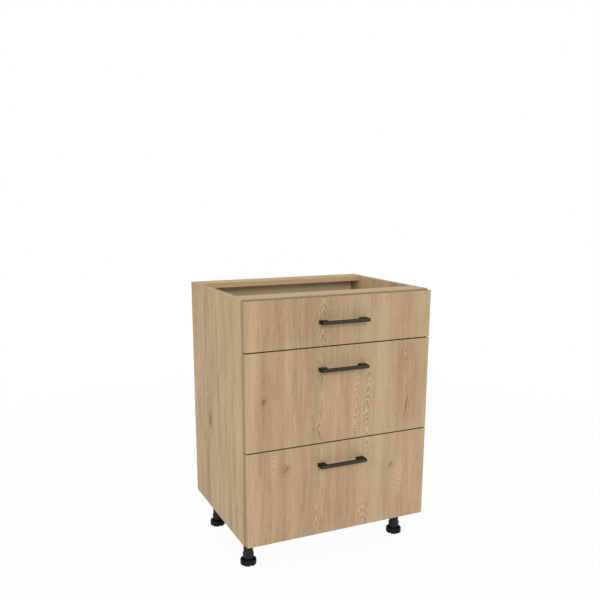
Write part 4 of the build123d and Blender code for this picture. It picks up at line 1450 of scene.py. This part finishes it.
class Rollers(bpy.types.Operator):
    """Nylon rollers with a crowned tread, a hub and ribs in the recess of each face."""

    bl_idname = "cabinet.rollers"
    bl_label = "Rollers"

    def execute(self, context):
        nylon = powder_coat("nylon", settings().finish.nylon, 0.36, 11.0)
        for name in DRAWERS:
            for end in ("front", "rear"):
                self.pair(f"{name}_{end}_rollers", nylon)
        return {"FINISHED"}

    def profile(self, radius, recess):
        """A roller's section with recesses of that depth: one half and its mirror image."""
        sizes = settings().runner
        width = sizes.roller_width
        rim = radius - sizes.roller_rim
        half = [
            (sizes.roller_bore, 0.0), (sizes.hub, 0.0), (sizes.hub, recess), (rim, recess), (rim, 0.0),
            (radius - TREAD_EDGE, 0.0), (radius - TREAD_DROP, TREAD_SHOULDER), (radius, width * TREAD_ROUND),
        ]
        return half + [(r, width - z) for r, z in reversed(half)]

    def pair(self, name, nylon):
        """The two rollers of one body, from one wedge with half a recess on each side of a rib."""
        sizes = settings().runner
        low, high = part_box(name)
        radius = (high.z - low.z) / 2
        rib = RIB_HALF_ANGLE
        recess = pi / sizes.ribs - rib
        hollow = self.profile(radius, sizes.recess)
        ribbed = self.profile(radius, sizes.recess * RIB_DEPTH)
        shares = [k / RECESS_STEPS for k in range(RECESS_STEPS + 1)]
        columns = [(recess * share - pi / sizes.ribs, hollow) for share in shares]
        columns += [(-rib, ribbed), (rib, ribbed)]
        columns += [(rib + recess * share, hollow) for share in shares]
        wedge = loft(round_columns(columns), capped=False)
        wheel = new_piece("wheel", joined(wedge))
        run_tree(wheel, ring_tree(), count=sizes.ribs, material=nylon)
        middle = (low + high) / 2
        shells = []
        for start in (low.x, high.x - sizes.roller_width):
            shell = shell_of(wheel.data)
            place = Matrix.Translation((start, middle.y, middle.z))
            shell.transform(place @ Matrix.Rotation(pi / 2, 4, "Y"))
            shells.append(shell)
        bpy.data.meshes.remove(wheel.data)
        piece = new_piece(name.replace("rollers", "roller_pair"), joined(*shells))
        piece.data.materials.append(nylon)
        tidy_mesh(piece)
        hand_over(piece, name, "roller_nylon", name)


# Screws: heads and shanks are drawn with a shank radius of 1. Half the width and the reach of a cross
# recess's arms are shares of the radius of the head's top, and the angles give the points in a quarter of
# it. In the CAD solids the head's rim is what lies far enough out, and a high rim belongs to a round head.
FLAT_HEAD = ((0.98, -1.0), (1.8, -0.14), (1.85, -0.06), (1.78, 0.0))
ROUND_HEAD = ((1.96, 0.0), (2.0, 0.15), (1.9, 0.7), (1.55, 1.05), (1.05, 1.2))
SHANK = ((0.0, -1.0), (0.5, -0.95), (0.96, -0.86), (0.96, -0.02), (0.0, -0.02))
SHANK_STEPS = 12
CROSS_ARM = 0.16
CROSS_REACH = 0.62
CROSS_ANGLES = (0.0, 0.2527, 0.52, pi / 4, 1.05, pi / 2 - 0.2527)
RECESS_TAPER = 0.72
RECESS_WALL = 0.75
RECESS_DEPTH = 0.95
FLAT_HEAD_SIZE = 1.85
ROUND_HEAD_SIZE = 2.0
RIM_SHARE = 0.97
ROUND_SHARE = 0.2


def cross_recess(angle):
    """Radius of a cross shaped opening in the direction of an angle."""
    turn = angle % (pi / 2)
    turn = min(turn, pi / 2 - turn)
    return min(CROSS_REACH / cos(turn), CROSS_ARM / max(sin(turn), 1e-6))


def screw_head(name, rows):
    """A head about Z with a cross recess in its top, from (radius, height) rows below the recess."""
    top_radius, top = rows[-1]
    columns = []
    for quarter in range(4):
        for part in CROSS_ANGLES:
            angle = quarter * pi / 2 + part
            size = cross_recess(angle) * top_radius
            columns.append((angle, [
                (0.0, rows[0][1]), *rows, (size, top), (size * RECESS_TAPER, top - RECESS_WALL),
                (0.0, top - RECESS_DEPTH),
            ]))
    return bpy.data.objects.new(name, joined(loft(round_columns(columns), around=True)))


def loose_solids(node):
    """The points of each separate solid of a CAD node."""
    shell = shell_of(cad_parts[node].data)
    bmesh.ops.remove_doubles(shell, verts=shell.verts, dist=SOLID_SEAM)
    left = set(shell.verts)
    solids = []
    while left:
        island = [left.pop()]
        for vertex in island:
            for edge in vertex.link_edges:
                other = edge.other_vert(vertex)
                if other in left:
                    left.remove(other)
                    island.append(other)
        solids.append([vertex.co.copy() for vertex in island])
    shell.free()
    return solids


def screw_place(points):
    """A screw's seat, the way its head faces, its shank's radius and length, and 1 for a round head."""
    lows = Vector([min(point[i] for point in points) for i in range(3)])
    highs = Vector([max(point[i] for point in points) for i in range(3)])
    axis = max(range(3), key=lambda i: highs[i] - lows[i])
    centre = (lows + highs) / 2
    offs = []
    for point in points:
        off = point - centre
        off[axis] = 0
        offs.append(off.length)
    head = max(offs)
    rim = [point[axis] for point, off in zip(points, offs) if off > head * RIM_SHARE]
    upward = sum(rim) / len(rim) > centre[axis]
    domed = max(rim) - min(rim) > head * ROUND_SHARE
    if domed:
        seat = min(rim) if upward else max(rim)
    else:
        seat = highs[axis] if upward else lows[axis]
    tip = lows[axis] if upward else highs[axis]
    aim = Vector((0, 0, 0))
    aim[axis] = 1 if upward else -1
    centre[axis] = seat
    radius = head / (ROUND_HEAD_SIZE if domed else FLAT_HEAD_SIZE)
    return centre, aim, radius, abs(seat - tip), float(domed)


class Screws(bpy.types.Operator):
    """Screws with a cross recess, on the seats of the frame's own screws."""

    bl_idname = "cabinet.screws"
    bl_label = "Screws"

    def execute(self, context):
        zinc = bright_metal("bright_zinc", settings().finish.zinc, 0.22, 2.0)
        flat = screw_head("flat_head", FLAT_HEAD)
        dome = screw_head("round_head", ROUND_HEAD)
        shank = bpy.data.objects.new("shank", joined(turned(SHANK, SHANK_STEPS)))
        for node, body in (
            ("cabinet_runner_screws", "carcass"), ("leg_socket_screws", "carcass"),
            *[(f"{name}_drawer_screws", f"{name}_drawer") for name in DRAWERS],
        ):
            piece = new_piece(node.replace("screws", "cross_screws"), self.seats(node))
            run_tree(piece, screw_tree(), flat_head=flat, round_head=dome, shank=shank, material=zinc)
            tidy_mesh(piece)
            hand_over(piece, body, "screw_steel", node)
        for helper in (flat, dome, shank):
            bpy.data.meshes.remove(helper.data)
        return {"FINISHED"}

    def seats(self, node):
        """A mesh of points, one on each screw's seat, whose attributes say how the screw stands."""
        places = [screw_place(points) for points in loose_solids(node)]
        places.sort(key=lambda place: tuple(round(v, 5) for v in place[0]))
        seats, aims, radii, lengths, rounds = zip(*places)
        mesh = bpy.data.meshes.new(node)
        mesh.from_pydata(seats, [], [])
        for label, values in (("radius", radii), ("reach", lengths), ("round", rounds)):
            mesh.attributes.new(label, "FLOAT", "POINT").data.foreach_set("value", values)
        aim = mesh.attributes.new("aim", "FLOAT_VECTOR", "POINT").data
        aim.foreach_set("vector", [part for way in aims for part in way])
        return mesh


class Fittings(bpy.types.Operator):
    """Finish of the eccentric locks, their bolts and the dowels."""

    bl_idname = "cabinet.fittings"
    bl_label = "Fittings"

    def execute(self, context):
        paint(bright_metal("cast_zinc", settings().finish.cast_zinc, 0.42, 6.0), "eccentric_locks")
        paint(bright_metal("bolt_zinc", settings().finish.zinc, 0.3, 8.0), "lock_bolts")
        paint(beech_dowel(), "carcass_dowels")
        return {"FINISHED"}


# Studio, in metres. The floor near the cabinet keeps its shadow, and further out it shows as plain white.
WHITE = (1, 1, 1, 1)
FLOOR_RADIUS = 30
FLOOR_STEPS = 96
FLOOR_FADE = (0.7, 2.6)
KEY_LAMP = dict(place=(-0.55, -4.15, 2.6), size=1.5, aim_height=-0.4, spread=radians(90))
LEFT_LAMP = dict(place=(-3.6, -0.9, 1.9), size=3.0)
RIGHT_LAMP = dict(place=(3.6, -0.4, 1.9), size=3.0)


class Studio(bpy.types.Operator):
    """Pale floor, soft light and the camera."""

    bl_idname = "cabinet.studio"
    bl_label = "Studio"

    def execute(self, context):
        studio = settings().studio
        context.scene.view_settings.view_transform = "Standard"
        self.floor(studio)
        self.sky(context, studio)
        self.lamp(context, "key_lamp", studio.key, **KEY_LAMP)
        self.lamp(context, "left_lamp", studio.left, **LEFT_LAMP)
        self.lamp(context, "right_lamp", studio.right, **RIGHT_LAMP)
        self.camera(context, studio)
        return {"FINISHED"}

    def camera(self, context, studio):
        """The camera at the photograph's place and angle."""
        camera = bpy.data.cameras.new("camera")
        camera.lens = studio.camera_lens
        camera.sensor_width = 36
        camera.shift_x, camera.shift_y = studio.camera_shift
        holder = bpy.data.objects.new("camera", camera)
        holder.location = studio.camera_place
        holder.rotation_euler = (pi / 2 - studio.camera_tilt, 0, -studio.camera_turn)
        context.scene.collection.objects.link(holder)
        context.scene.camera = holder

    def show_white(self, tree, lit, kind, output, share=1.0):
        """Shows a share of plain white to rays from the camera, in a gloss or through glass."""
        white = add(tree, kind, {"Color": WHITE, "Strength": 1.0})
        rays = add(tree, "ShaderNodeLightPath")
        seen = out(rays, "Is Camera Ray") + out(rays, "Is Glossy Ray")
        seen = seen.math("ADD", out(rays, "Is Transmission Ray"), clamp=True)
        mixed = add(tree, "ShaderNodeMixShader", {0: seen * share, 1: lit, 2: out(white)})
        give(tree, tree.nodes[output], Surface=out(mixed))

    def floor(self, studio):
        """A wide pale floor."""
        shell = bmesh.new()
        bmesh.ops.create_circle(shell, cap_ends=True, segments=FLOOR_STEPS, radius=FLOOR_RADIUS)
        floor = new_piece("floor", joined(shell))
        material = bpy.data.materials.new("floor")
        material.use_nodes = True
        tree = material.node_tree
        tree.nodes.remove(tree.nodes["Principled BSDF"])
        away = add(tree, "ShaderNodeVectorMath", {0: spot(tree)}, operation="LENGTH")
        far = step(tree, out(away, "Value"), *FLOOR_FADE)
        share = far * (1 - studio.floor_white) + studio.floor_white
        plain = add(tree, "ShaderNodeBsdfDiffuse", {"Color": (*studio.floor, 1.0)})
        self.show_white(tree, out(plain), "ShaderNodeEmission", "Material Output", share)
        floor.data.materials.append(material)

    def sky(self, context, studio):
        """Even light from all round in front of a white background."""
        world = bpy.data.worlds.new("studio")
        world.use_nodes = True
        context.scene.world = world
        tree = world.node_tree
        light = tree.nodes["Background"]
        give(tree, light, Color=WHITE, Strength=studio.sky)
        self.show_white(tree, out(light), "ShaderNodeBackground", "World Output")

    def lamp(self, context, name, power, place, size, aim_height=0.45, spread=pi):
        """A round soft lamp that points at a height above the cabinet's middle."""
        lamp = bpy.data.lights.new(name, "AREA")
        lamp.shape = "DISK"
        lamp.size = size
        lamp.energy = power
        lamp.spread = spread
        holder = bpy.data.objects.new(name, lamp)
        holder.location = place
        aim = Vector((0, 0, aim_height)) - Vector(place)
        holder.rotation_euler = aim.to_track_quat("-Z", "Y").to_euler()
        context.scene.collection.objects.link(holder)


OPERATORS = (OakBoards, DrawerBoxes, Handles, Legs, Runners, Rollers, Screws, Fittings, Studio)


class CabinetPanel(bpy.types.Panel):
    """The cabinet's pieces and settings in the sidebar."""

    bl_idname = "VIEW3D_PT_cabinet"
    bl_label = "Oak drawer cabinet"
    bl_space_type = "VIEW_3D"
    bl_region_type = "UI"
    bl_category = "Cabinet"

    def draw(self, context):
        for operator in OPERATORS:
            self.layout.operator(operator.bl_idname)
        for label in CabinetSettings.__annotations__:
            box = self.layout.box()
            box.label(text=label.title())
            group = getattr(context.scene.cabinet, label)
            for name in group.__annotations__:
                box.prop(group, name)


CLASSES = (
    OakFinish, FittingFinish, HandleSizes, LegSizes, RunnerSizes, StudioSettings, CabinetSettings,
    *OPERATORS, CabinetPanel,
)


def register():
    """Registers the settings, operators and panel."""
    for kind in CLASSES:
        bpy.utils.register_class(kind)
    bpy.types.Scene.cabinet = PointerProperty(type=CabinetSettings)


def unregister():
    """Takes the settings, operators and panel away again."""
    del bpy.types.Scene.cabinet
    for kind in reversed(CLASSES):
        bpy.utils.unregister_class(kind)


def main():
    """Makes every piece and the studio."""
    register()
    for operator in OPERATORS:
        family, name = operator.bl_idname.split(".")
        getattr(getattr(bpy.ops, family), name)()


if __name__ == "__main__":
    main()
